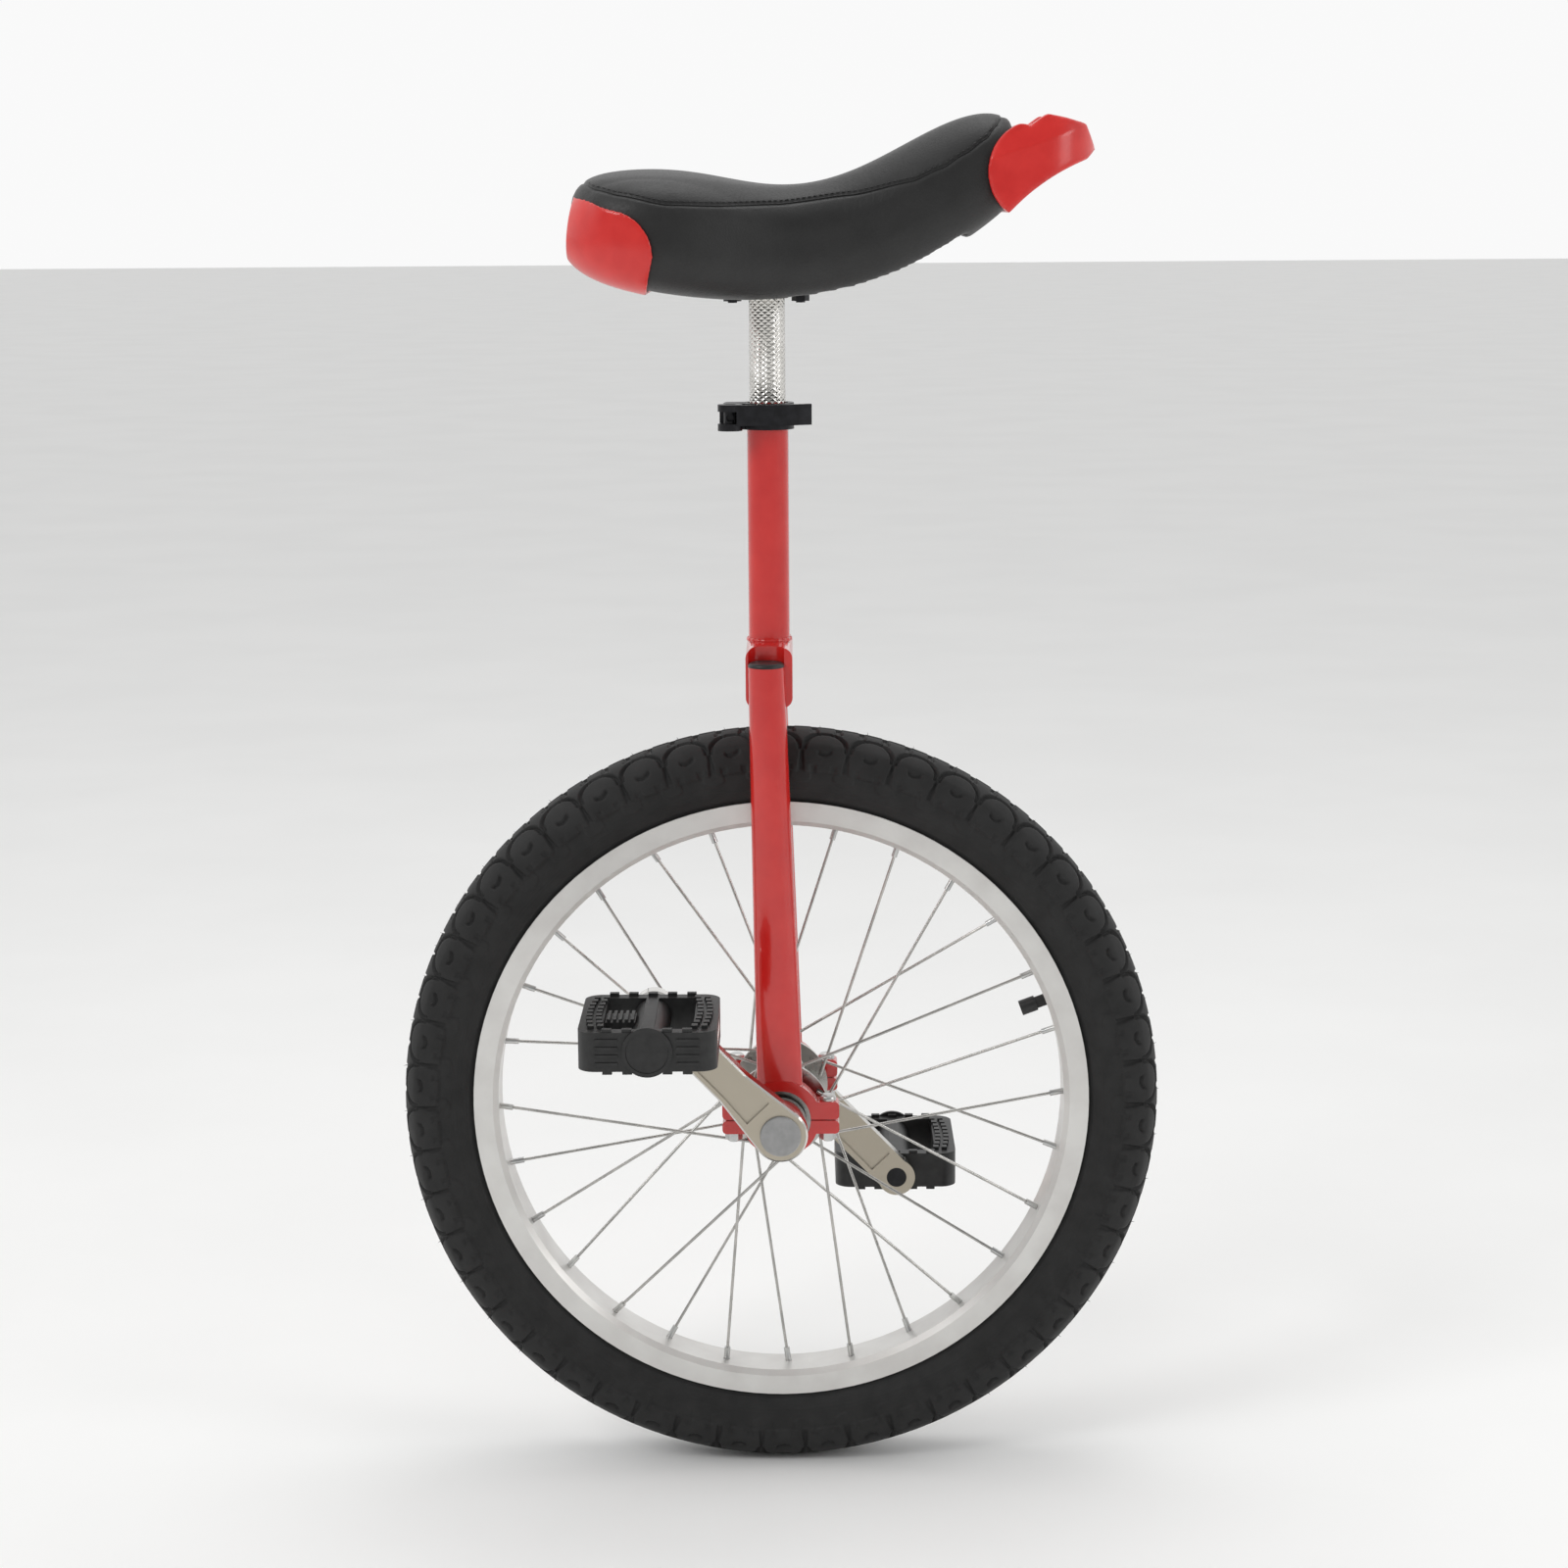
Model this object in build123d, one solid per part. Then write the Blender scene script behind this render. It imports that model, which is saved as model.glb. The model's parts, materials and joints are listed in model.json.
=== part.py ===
from build123d import *
import math
import os

# A 20-inch unicycle: wheel with fixed cranks, fork frame, quick-release seat post and saddle.
# Millimetres. +X is forward, +Y is the rider's left, +Z is up.
# The origin is on the ground, straight below the middle of the axle.

# Tyre, inner tube and rim
TYRE_DIAMETER = 514.0
TYRE_WIDTH = 54.0
TYRE_WALL = 3.5
TREAD_DEPTH = 6.5
BEAD_HALF_WIDTH = 15.7
TUBE_WALL = 1.2
RIM_RADIUS = 209.0
RIM_WIDTH = 36.0
RIM_INNER_RADIUS = 192.5
RIM_SEAT_RADIUS = 202.9
RIM_WELL_RADIUS = 196.5
RIM_WALL = 2.0
SOFT_GAP = 0.4
TAPE_GAP = 0.8
TAPE_THICKNESS = 1.0

# Spokes and valve
SPOKE_COUNT = 28
SPOKE_RADIUS = 1.0
SPOKE_PHASE = 14.1
SPOKE_CROSSES = 2
SPOKE_STAGGER = 3.8
NIPPLE_RADIUS = 2.0
NIPPLE_LENGTH = 13.0
VALVE_ANGLE = 20.5
VALVE_RADIUS = 4.0
VALVE_LENGTH = 18.0
VALVE_CAP_LENGTH = 11.0

# Hub, axle and bearings, with stations measured outwards from the middle of the hub
HUB_SHELL_RADIUS = 14.0
FLANGE_RADIUS = 32.0
FLANGE_STATION = 30.0
FLANGE_THICKNESS = 3.0
SPOKE_HOLE_CIRCLE_RADIUS = 28.0
SPOKE_HOLE_CLEARANCE = 0.3
AXLE_RADIUS = 8.5
AXLE_SQUARE = 12.6
BEARING_STATION = 50.2
BEARING_WIDTH = 12.0
BEARING_OUTER_RADIUS = 20.0
INNER_RACE_RADIUS = 12.3
OUTER_RACE_BORE = 16.2
BALL_RADIUS = 3.4
BALL_COUNT = 8
BALL_CLEARANCE = 0.1
SPACER_RADIUS = 12.0

# Bearing holders
HOLDER_WIDTH = 13.0
HOLDER_RADIUS = 27.0
HOLDER_FIT = 0.05
HOLDER_SPLIT = 0.8
EAR_SPAN = 78.0
EAR_THICKNESS = 12.0
CAP_EAR_THICKNESS = 9.0
HOLDER_BOLT_SPACING = 63.0
HOLDER_BOLT_RADIUS = 3.0
BOLT_CLEARANCE = 0.2

# Cranks and pedals
CRANK_LENGTH = 118.0
CRANK_ANGLE = 46.25
CRANK_INNER = 80.2
CRANK_THICKNESS = 11.3
CRANK_BOSS_RADIUS = 18.0
CRANK_BOSS_START = 60.5
CRANK_HALF_WIDTH = 12.4
CRANK_EYE_RADIUS = 13.2
CRANK_RECESS = 1.8
CRANK_CAP_RADIUS = 13.5
CRANK_SOCKET_RADIUS = 11.2
SPINDLE_THREAD_RADIUS = 7.1
SPINDLE_RADIUS = 5.0
RUNNING_FIT = 0.05
PEDAL_LENGTH = 86.8
PEDAL_WIDTH = 92.5
PEDAL_CORE_THICKNESS = 25.0
PEDAL_TREAD_HEIGHT = 2.0
PEDAL_GAP = 5.0
PEDAL_BARREL_RADIUS = 12.0
PEDAL_BUSH_RADIUS = 8.0
PEDAL_CAP_RADIUS = 13.3

# Frame
MAIN_TUBE_RADIUS = 13.6
MAIN_TUBE_X = -5.7
MAIN_TUBE_RISE = 155.8
TYRE_CLEARANCE = 19.0
CROWN_HEIGHT = 40.0
CROWN_LENGTH_X = 30.6
CROWN_FLOOR = 4.0
LEG_TOP_DROP = 12.0
LEG_TOP_Y = 45.0
LEG_RADIUS = 11.8
LEG_FOOT_HALF_LENGTH = 15.2
LEG_WALL = 1.5
PLUG_HEIGHT = 3.0

# Seat post and quick-release clamp
POST_RADIUS = 11.8
POST_FIT = 0.05
POST_WALL = 1.6
POST_INSERTION = 106.8
POST_EXPOSED = 67.7
CLAMP_OVERLAP = 16.3
CLAMP_HEIGHT = 17.0
CLAMP_RADIUS = 17.4
CLAMP_GAP = 3.0
CLAMP_EAR_WIDTH = 17.0
SKEWER_DISTANCE = 24.3
SKEWER_RADIUS = 2.5
PIVOT_Y = -17.8
PIVOT_RADIUS = 4.0
LEVER_EYE_RADIUS = 8.0
LEVER_THICKNESS = 4.0

# Saddle, with heights above its lowest edge
COVER_THICKNESS = 1.4
BASE_RECESS = 7.0
BASE_THICKNESS = 3.5
BASE_HALF_WIDTH = 27.0
SHELL_THICKNESS = 3.2
SEAT_GAP = 0.3
PLATE_THICKNESS = 3.0
PLATE_LENGTH = 62.0
PLATE_WIDTH = 46.0
SADDLE_BOLT_X = 22.0
SADDLE_BOLT_Y = 15.5
SADDLE_BOLT_RADIUS = 3.0
HANDLE_HALF_WIDTH = 48.0
FINGER_GAP_REAR = 163.0
FINGER_GAP_FRONT = 184.0
FINGER_GAP_HALF_WIDTH = 27.0

# Saddle sections: x, low edge, high edge, half width
SADDLE_STATIONS = (
    (-130.0, 30.0, 66.0, 40.0),
    (-110.0, 15.0, 81.0, 66.0),
    (-75.0, 6.0, 83.5, 76.0),
    (-35.0, 1.0, 78.5, 66.0),
    (5.0, 0.0, 73.2, 52.0),
    (45.0, 3.5, 80.0, 46.0),
    (85.0, 15.5, 98.5, 45.0),
    (122.0, 37.0, 115.0, 44.0),
    (152.0, 60.0, 113.0, 38.0),
)

# Values worked out from the ones above
AXLE_HEIGHT = TYRE_DIAMETER / 2
TYRE_RADIUS = TYRE_DIAMETER / 2
CROWN_TOP = TYRE_DIAMETER + TYRE_CLEARANCE + CROWN_HEIGHT
LEG_TOP = CROWN_TOP - LEG_TOP_DROP
MAIN_TUBE_TOP = CROWN_TOP + MAIN_TUBE_RISE
POST_BOTTOM = MAIN_TUBE_TOP - POST_INSERTION
CLAMP_BOTTOM = MAIN_TUBE_TOP - CLAMP_OVERLAP
SADDLE_BOTTOM = MAIN_TUBE_TOP + POST_EXPOSED
CRANK_OUTER = CRANK_INNER + CRANK_THICKNESS
PEDAL_INNER = CRANK_OUTER + PEDAL_GAP
PEDAL_OUTER = PEDAL_INNER + PEDAL_WIDTH
CLAMP_TOP = CLAMP_BOTTOM + CLAMP_HEIGHT
SKEWER_X = MAIN_TUBE_X - SKEWER_DISTANCE
SKEWER_Z = CLAMP_BOTTOM + CLAMP_HEIGHT / 2
PLATE_TOP = SADDLE_BOTTOM + BASE_RECESS - SEAT_GAP
CRANK_DIRECTIONS = {-1: 180 - CRANK_ANGLE, 1: -CRANK_ANGLE}
SIDES = {"right": -1, "left": 1}

SECTION = Plane(origin=(0, 0, AXLE_HEIGHT), x_dir=(0, 1, 0), z_dir=(1, 0, 0))
AXLE_LINE = Axis((0, 0, AXLE_HEIGHT), (0, 1, 0))


# Basic shapes

def block(x_start, x_end, y_start, y_end, z_start, z_end):
    """A box between two opposite corners."""
    centre = Pos((x_start + x_end) / 2, (y_start + y_end) / 2, (z_start + z_end) / 2)
    return centre * Box(abs(x_end - x_start), abs(y_end - y_start), abs(z_end - z_start))


def bar_y(radius, y_start, y_end, x=0.0, z=AXLE_HEIGHT):
    """A round bar along Y between two stations, given in either order."""
    length = abs(y_end - y_start)
    return Pos(x, (y_start + y_end) / 2, z) * Rot(90, 0, 0) * Cylinder(radius, length)


def ring_y(outer, inner, y_start, y_end, x=0.0, z=AXLE_HEIGHT):
    """A round tube along Y."""
    return bar_y(outer, y_start, y_end, x, z) - bar_y(inner, y_start, y_end, x, z)


def post_z(radius, z_start, z_end, x=0.0, y=0.0):
    """A round bar along Z."""
    return Pos(x, y, (z_start + z_end) / 2) * Cylinder(radius, z_end - z_start)


def rod(start, end, radius):
    """A round bar between two points."""
    line = Vector(*end) - Vector(*start)
    return extrude(Plane(origin=start, z_dir=line) * Circle(radius), amount=line.length)


def hex_bar_z(across_corners_radius, z_start, z_end, x, y):
    """A hexagonal bar along Z."""
    face = Pos(x, y, z_start) * RegularPolygon(across_corners_radius, 6)
    return extrude(face, amount=z_end - z_start)


def side_prism(outline, y_start, y_end):
    """A side-view outline in x and z, stretched across from one Y station to the other."""
    side = Plane(origin=(0, y_start, 0), x_dir=(1, 0, 0), z_dir=(0, -1, 0))
    return extrude(side * outline, amount=y_start - y_end)


def turned(outline):
    """A closed outline in y and radius, turned about the axle."""
    return revolve(SECTION * make_face(outline), AXLE_LINE)


def on_crank(shape, sign):
    """Turn a shape built along +X about the origin to lie along that side's crank."""
    return Pos(0, 0, AXLE_HEIGHT) * Rot(0, -CRANK_DIRECTIONS[sign], 0) * shape


def pedal_centre(sign):
    """The x and z of one pedal spindle."""
    angle = math.radians(CRANK_DIRECTIONS[sign])
    return CRANK_LENGTH * math.cos(angle), AXLE_HEIGHT + CRANK_LENGTH * math.sin(angle)


# Wheel

def casing_curve(inset, crown_inset):
    """The tyre's section from bead to bead over the crown, moved inwards by the insets."""
    bead = BEAD_HALF_WIDTH - inset
    bulge = TYRE_WIDTH / 2 - inset
    shoulder = TYRE_WIDTH * 0.39 - inset
    bead_radius = RIM_RADIUS + 1
    bulge_radius = (RIM_RADIUS + TYRE_RADIUS) / 2 - 1
    shoulder_radius = TYRE_RADIUS - 7 - crown_inset
    crown = (0, TYRE_RADIUS - crown_inset)
    right = ThreePointArc((-bead, bead_radius), (-bulge, bulge_radius), (-shoulder, shoulder_radius))
    over = ThreePointArc((-shoulder, shoulder_radius), crown, (shoulder, shoulder_radius))
    left = ThreePointArc((shoulder, shoulder_radius), (bulge, bulge_radius), (bead, bead_radius))
    return right + over + left


def tyre():
    """A wired-on tyre whose outside is the envelope of its tread blocks."""
    outer = BEAD_HALF_WIDTH
    inner = BEAD_HALF_WIDTH - TYRE_WALL
    top = RIM_RADIUS + 1
    foot = RIM_SEAT_RADIUS + 0.1
    outline = casing_curve(0, 0) + casing_curve(TYRE_WALL, TREAD_DEPTH)
    outline += Polyline((-outer, top), (-outer, foot), (-inner, foot), (-inner, top))
    outline += Polyline((outer, top), (outer, foot), (inner, foot), (inner, top))
    return turned(outline)


def tube_loop(inset):
    """The closed section of the inner tube, moved inwards by the inset."""
    side = BEAD_HALF_WIDTH - TYRE_WALL - SOFT_GAP - inset
    top = RIM_RADIUS + 1
    low = RIM_WELL_RADIUS + TAPE_GAP + TAPE_THICKNESS + SOFT_GAP + inset
    curve = casing_curve(TYRE_WALL + SOFT_GAP + inset, TREAD_DEPTH + SOFT_GAP + inset)
    foot = side - 2.2
    return curve + Polyline((-side, top), (-side, low + 6), (-foot, low), (foot, low), (side, low + 6), (side, top))


def inner_tube():
    """The air tube inside the tyre."""
    return turned(tube_loop(0)) - turned(tube_loop(TUBE_WALL))


def rim_tape():
    """The band over the nipple heads, with a hole for the valve."""
    low = RIM_WELL_RADIUS + TAPE_GAP
    high = low + TAPE_THICKNESS
    band = turned(Polyline((-10, low), (10, low), (10, high), (-10, high), close=True))
    return band - radial_bar(VALVE_RADIUS + 0.4, VALVE_ANGLE, RIM_INNER_RADIUS - 5, RIM_RADIUS)


def radial_bar(radius, angle, r_start, r_end):
    """A round bar that points away from the axle in the wheel's middle plane."""
    turn = math.radians(angle)
    start = (r_start * math.cos(turn), 0, AXLE_HEIGHT + r_start * math.sin(turn))
    end = (r_end * math.cos(turn), 0, AXLE_HEIGHT + r_end * math.sin(turn))
    return rod(start, end, radius)


def spoke_ends(index):
    """The hub-side bend and the rim-side end of one spoke."""
    side = -1 if index % 2 else 1
    lead = 1 if index % 4 in (1, 2) else -1
    rim_angle = math.radians(SPOKE_PHASE + index * 360 / SPOKE_COUNT)
    hub_angle = rim_angle + lead * SPOKE_CROSSES * 4 * math.pi / SPOKE_COUNT
    hub_y = side * FLANGE_STATION + lead * side * SPOKE_STAGGER
    hub = Vector(
        SPOKE_HOLE_CIRCLE_RADIUS * math.cos(hub_angle),
        hub_y,
        AXLE_HEIGHT + SPOKE_HOLE_CIRCLE_RADIUS * math.sin(hub_angle),
    )
    reach = RIM_WELL_RADIUS - 0.1
    rim = Vector(reach * math.cos(rim_angle), side * 3.0, AXLE_HEIGHT + reach * math.sin(rim_angle))
    return hub, rim


def along(start, end, distance_from_end):
    """The point that far before the end of a line."""
    return end - (end - start).normalized() * distance_from_end


def rim():
    """An extruded aluminium rim, drilled for the nipples and the valve."""
    half = RIM_WIDTH / 2
    inside = half - RIM_WALL
    shoulder = RIM_INNER_RADIUS + 3.5
    outline = Polyline(
        (-half, RIM_RADIUS),
        (-half, shoulder),
        (-half + 3.5, RIM_INNER_RADIUS),
        (half - 3.5, RIM_INNER_RADIUS),
        (half, shoulder),
        (half, RIM_RADIUS),
        (inside, RIM_RADIUS),
        (inside, RIM_SEAT_RADIUS),
        (inside - 4, RIM_SEAT_RADIUS),
        (inside - 5.5, RIM_WELL_RADIUS),
        (5.5 - inside, RIM_WELL_RADIUS),
        (4 - inside, RIM_SEAT_RADIUS),
        (-inside, RIM_SEAT_RADIUS),
        (-inside, RIM_RADIUS),
        close=True,
    )
    holes = [radial_bar(VALVE_RADIUS + 0.4, VALVE_ANGLE, RIM_INNER_RADIUS - 5, RIM_RADIUS)]
    for index in range(SPOKE_COUNT):
        hub, end = spoke_ends(index)
        holes.append(rod(along(hub, end, 9), along(hub, end, -4), NIPPLE_RADIUS + 0.2))
        holes.append(rod(along(hub, end, 2), along(hub, end, -4), NIPPLE_RADIUS + 1.5))
    return turned(outline) - holes


def spokes():
    """Each spoke with its run, its bend through the flange and its head."""
    group = []
    for index in range(SPOKE_COUNT):
        hub, end = spoke_ends(index)
        side = -1 if index % 2 else 1
        away = math.copysign(1, hub.Y - side * FLANGE_STATION)
        head_y = side * FLANGE_STATION - away * (FLANGE_THICKNESS / 2 + 0.3)
        tail = Vector(hub.X, head_y, hub.Z)
        head = Vector(hub.X, head_y - away * 1.2, hub.Z)
        run = rod(hub, along(hub, end, NIPPLE_LENGTH), SPOKE_RADIUS)
        run += rod(hub, tail, SPOKE_RADIUS)
        run += rod(tail, head, SPOKE_RADIUS * 1.8)
        run += Pos(hub) * Sphere(SPOKE_RADIUS)
        group.append(run)
    return group


def nipples():
    """One nipple in the rim at the end of each spoke."""
    group = []
    for index in range(SPOKE_COUNT):
        hub, end = spoke_ends(index)
        body = rod(along(hub, end, NIPPLE_LENGTH), end, NIPPLE_RADIUS)
        group.append(body + rod(along(hub, end, 1.8), end, NIPPLE_RADIUS + 1.1))
    return group


def valve_stem():
    """The tyre valve, from the inner tube out through the rim."""
    top = RIM_WELL_RADIUS + TAPE_GAP + TAPE_THICKNESS
    return radial_bar(VALVE_RADIUS, VALVE_ANGLE, RIM_INNER_RADIUS - VALVE_LENGTH + 2, top)


def valve_cap():
    """The screw cap on the end of the valve."""
    tip = RIM_INNER_RADIUS - VALVE_LENGTH
    outside = radial_bar(VALVE_RADIUS + 1.2, VALVE_ANGLE, tip, tip + VALVE_CAP_LENGTH)
    return outside - radial_bar(VALVE_RADIUS + 0.1, VALVE_ANGLE, tip + 1.9, tip + VALVE_CAP_LENGTH + 1)


def hub_shell():
    """The steel hub with two drilled flanges."""
    half = FLANGE_STATION + FLANGE_THICKNESS / 2
    shell = bar_y(HUB_SHELL_RADIUS, -half, half)
    holes = [bar_y(AXLE_RADIUS, -half - 1, half + 1)]
    for side in (-1, 1):
        inner = side * (FLANGE_STATION - FLANGE_THICKNESS / 2)
        shell += bar_y(FLANGE_RADIUS, inner, side * half)
    for index in range(SPOKE_COUNT):
        hub = spoke_ends(index)[0]
        side = -1 if index % 2 else 1
        span = FLANGE_THICKNESS / 2 + 1
        middle = side * FLANGE_STATION
        holes.append(bar_y(SPOKE_RADIUS + SPOKE_HOLE_CLEARANCE, middle - span, middle + span, hub.X, hub.Z))
    return shell - holes


def axle():
    """The axle with a square end for each crank, tapped for the crank bolts."""
    shoulder = BEARING_STATION + BEARING_WIDTH / 2 + 1
    end = CRANK_BOSS_START + 23
    shaft = bar_y(AXLE_RADIUS, -shoulder, shoulder)
    half = AXLE_SQUARE / 2
    square = Rot(0, CRANK_ANGLE, 0) * block(-half, half, -end, end, -half, half)
    shaft += Pos(0, 0, AXLE_HEIGHT) * square
    return shaft - [bar_y(4, sign * shoulder, sign * (end + 1)) for sign in (-1, 1)]


def bearing_spacers():
    """Sleeves that hold the inner races off the hub and off the cranks."""
    race = BEARING_WIDTH / 2
    spans = (
        (FLANGE_STATION + FLANGE_THICKNESS / 2, BEARING_STATION - race),
        (BEARING_STATION + race, CRANK_BOSS_START),
    )
    return [ring_y(SPACER_RADIUS, AXLE_RADIUS, sign * a, sign * b) for sign in (-1, 1) for a, b in spans]


def ball_track(sign):
    """The round groove that both races share."""
    pitch = (INNER_RACE_RADIUS + OUTER_RACE_BORE) / 2
    return Pos(0, sign * BEARING_STATION, AXLE_HEIGHT) * Rot(90, 0, 0) * Torus(pitch, BALL_RADIUS + BALL_CLEARANCE)


def races(outer, inner):
    """One bearing race on each side, with its ball track."""
    half = BEARING_WIDTH / 2
    group = []
    for sign in (-1, 1):
        middle = sign * BEARING_STATION
        group.append(ring_y(outer, inner, middle - half, middle + half) - ball_track(sign))
    return group


def bearing_balls(sign):
    """The ring of balls in one bearing."""
    pitch = (INNER_RACE_RADIUS + OUTER_RACE_BORE) / 2
    balls = []
    for index in range(BALL_COUNT):
        turn = 2 * math.pi * index / BALL_COUNT
        place = Pos(pitch * math.cos(turn), sign * BEARING_STATION, AXLE_HEIGHT + pitch * math.sin(turn))
        balls.append(place * Sphere(BALL_RADIUS))
    return balls


def bearing_seals():
    """A thin seal in each face of each outer race, just clear of the inner race."""
    group = []
    for sign in (-1, 1):
        for face in (-1, 1):
            outside = sign * BEARING_STATION + face * (BEARING_WIDTH / 2 - 0.3)
            group.append(ring_y(OUTER_RACE_BORE, INNER_RACE_RADIUS + 0.3, outside, outside - face * 0.8))
    return group


# Cranks and pedals

def crank(sign):
    """A forged crank arm with a recessed web, square hub hole and pedal eye."""
    near = sign * CRANK_INNER
    far = sign * CRANK_OUTER
    taper = CRANK_BOSS_RADIUS * 2.5
    half = CRANK_HALF_WIDTH
    blank = make_face(Polyline(
        (0, CRANK_BOSS_RADIUS),
        (taper, half),
        (CRANK_LENGTH, half),
        (CRANK_LENGTH, -half),
        (taper, -half),
        (0, -CRANK_BOSS_RADIUS),
        close=True,
    ))
    outline = blank + Circle(CRANK_BOSS_RADIUS) + Pos(CRANK_LENGTH, 0) * Circle(CRANK_EYE_RADIUS)
    arm = side_prism(outline, near, far)
    rims = arm.edges().filter_by(lambda edge: abs(abs(edge.center().Y) - CRANK_OUTER) < 0.01)
    arm = chamfer(rims, 1.2)
    web_start = CRANK_BOSS_RADIUS + 3
    web_end = CRANK_LENGTH - CRANK_EYE_RADIUS - 3
    web_half = half - 3.6
    web = make_face(Polyline(
        (web_start, web_half + 1.5),
        (taper, web_half),
        (web_end, web_half),
        (web_end, -web_half),
        (taper, -web_half),
        (web_start, -web_half - 1.5),
        close=True,
    ))
    cuts = [side_prism(web, far - sign * CRANK_RECESS, far + sign)]
    cuts.append(side_prism(web, near - sign, near + sign * CRANK_RECESS))
    cuts.append(bar_y(SPINDLE_THREAD_RADIUS, near - sign, far + sign, CRANK_LENGTH, 0))
    arm += bar_y(CRANK_BOSS_RADIUS - 1, sign * CRANK_BOSS_START, near, 0, 0)
    side = AXLE_SQUARE / 2
    socket = sign * (CRANK_BOSS_START + 24)
    cuts.append(block(-side, side, sign * CRANK_BOSS_START - sign, socket, -side, side))
    cuts.append(bar_y(CRANK_SOCKET_RADIUS, socket, far + sign, 0, 0))
    return on_crank(arm - cuts, sign)


def crank_bolts():
    """The flanged bolt that holds each crank on its square."""
    group = []
    for sign in (-1, 1):
        seat = CRANK_BOSS_START + 24
        bolt = bar_y(4, sign * (CRANK_BOSS_START + 1), sign * seat)
        bolt += bar_y(SPACER_RADIUS - 2, sign * seat, sign * (seat + 1.2))
        head = Rot(90, 0, 0) * RegularPolygon(7.5, 6)
        face = Pos(0, sign * (seat + 1.2), AXLE_HEIGHT) * head
        bolt += extrude(face, amount=3, dir=(0, sign, 0))
        group.append(bolt)
    return group


def crank_caps():
    """The round dust cap over each crank bolt."""
    group = []
    for sign in (-1, 1):
        plug = bar_y(CRANK_SOCKET_RADIUS, sign * (CRANK_OUTER - 2), sign * CRANK_OUTER)
        lid = bar_y(CRANK_CAP_RADIUS, sign * CRANK_OUTER, sign * (CRANK_OUTER + 2))
        rims = lid.edges().filter_by(lambda edge: abs(edge.center().Y) > CRANK_OUTER + 1)
        group.append(plug + fillet(rims, 0.9))
    return group


def pedal_spindles():
    """The steel spindle screwed into each crank."""
    group = []
    for sign in (-1, 1):
        x, z = pedal_centre(sign)
        spindle = bar_y(SPINDLE_THREAD_RADIUS, sign * CRANK_INNER, sign * CRANK_OUTER, x, z)
        spindle += bar_y(8.5, sign * CRANK_OUTER, sign * (PEDAL_INNER - 0.5), x, z)
        spindle += bar_y(SPINDLE_RADIUS, sign * (PEDAL_INNER - 0.5), sign * (PEDAL_OUTER - 8), x, z)
        group.append(spindle)
    return group


def pedal_nuts():
    """The nut that keeps each pedal on its spindle."""
    group = []
    for sign in (-1, 1):
        x, z = pedal_centre(sign)
        start = sign * (PEDAL_OUTER - 14)
        group.append(ring_y(7.2, SPINDLE_RADIUS, start, start + sign * 4.5, x, z))
    return group


def pedal_bushes(sign):
    """Two plain bushes pressed into the pedal's barrel."""
    x, z = pedal_centre(sign)
    starts = (PEDAL_INNER + 1, PEDAL_OUTER - 26.5)
    bore = SPINDLE_RADIUS + RUNNING_FIT
    return [ring_y(PEDAL_BUSH_RADIUS, bore, sign * y, sign * (y + 12), x, z) for y in starts]


def pedal_treads(sign, x, z):
    """Raised blocks on both faces: two bowed rows at each end and a toothed edge along each side."""
    pieces = []
    core = PEDAL_CORE_THICKNESS / 2
    middle = (PEDAL_INNER + PEDAL_OUTER) / 2
    for face in (-1, 1):
        low = z + face * (core - 0.5)
        high = z + face * (core + PEDAL_TREAD_HEIGHT)
        for row in (5.5, 11.5):
            for step in range(-4, 5):
                bow = 0.16 * step * step
                centre_x = PEDAL_LENGTH / 2 - row - bow
                centre_y = sign * (middle + step * 8.6)
                for end in (-1, 1):
                    at = x + end * centre_x
                    pieces.append(block(at - 1.9, at + 1.9, centre_y - 2.7, centre_y + 2.7, low, high))
        for step in (-2, -1, 0, 1, 2):
            at = x + step * 12.5
            for edge in (PEDAL_INNER + 2.5, PEDAL_OUTER - 2.5):
                pieces.append(block(at - 3, at + 3, sign * (edge - 1.9), sign * (edge + 1.9), low, high))
    return pieces


def pedal_bridges(sign, x, z):
    """A ribbed step from the barrel to one end, on the top one way and below the other way."""
    pieces = []
    core = PEDAL_CORE_THICKNESS / 2
    middle = sign * (PEDAL_INNER + PEDAL_OUTER) / 2
    for face in (-1, 1):
        near = x - face * (PEDAL_BARREL_RADIUS - 3)
        far = x - face * (PEDAL_LENGTH / 2 - 12)
        pieces.append(block(near, far, middle - 11, middle + 11, z + face * 5, z + face * (core - 3)))
        for rib in range(6):
            at = near + (far - near) * (rib + 0.5) / 6
            pieces.append(block(at - 1, at + 1, middle - 11, middle + 11, z + face * 6, z + face * (core - 1)))
    return pieces


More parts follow.
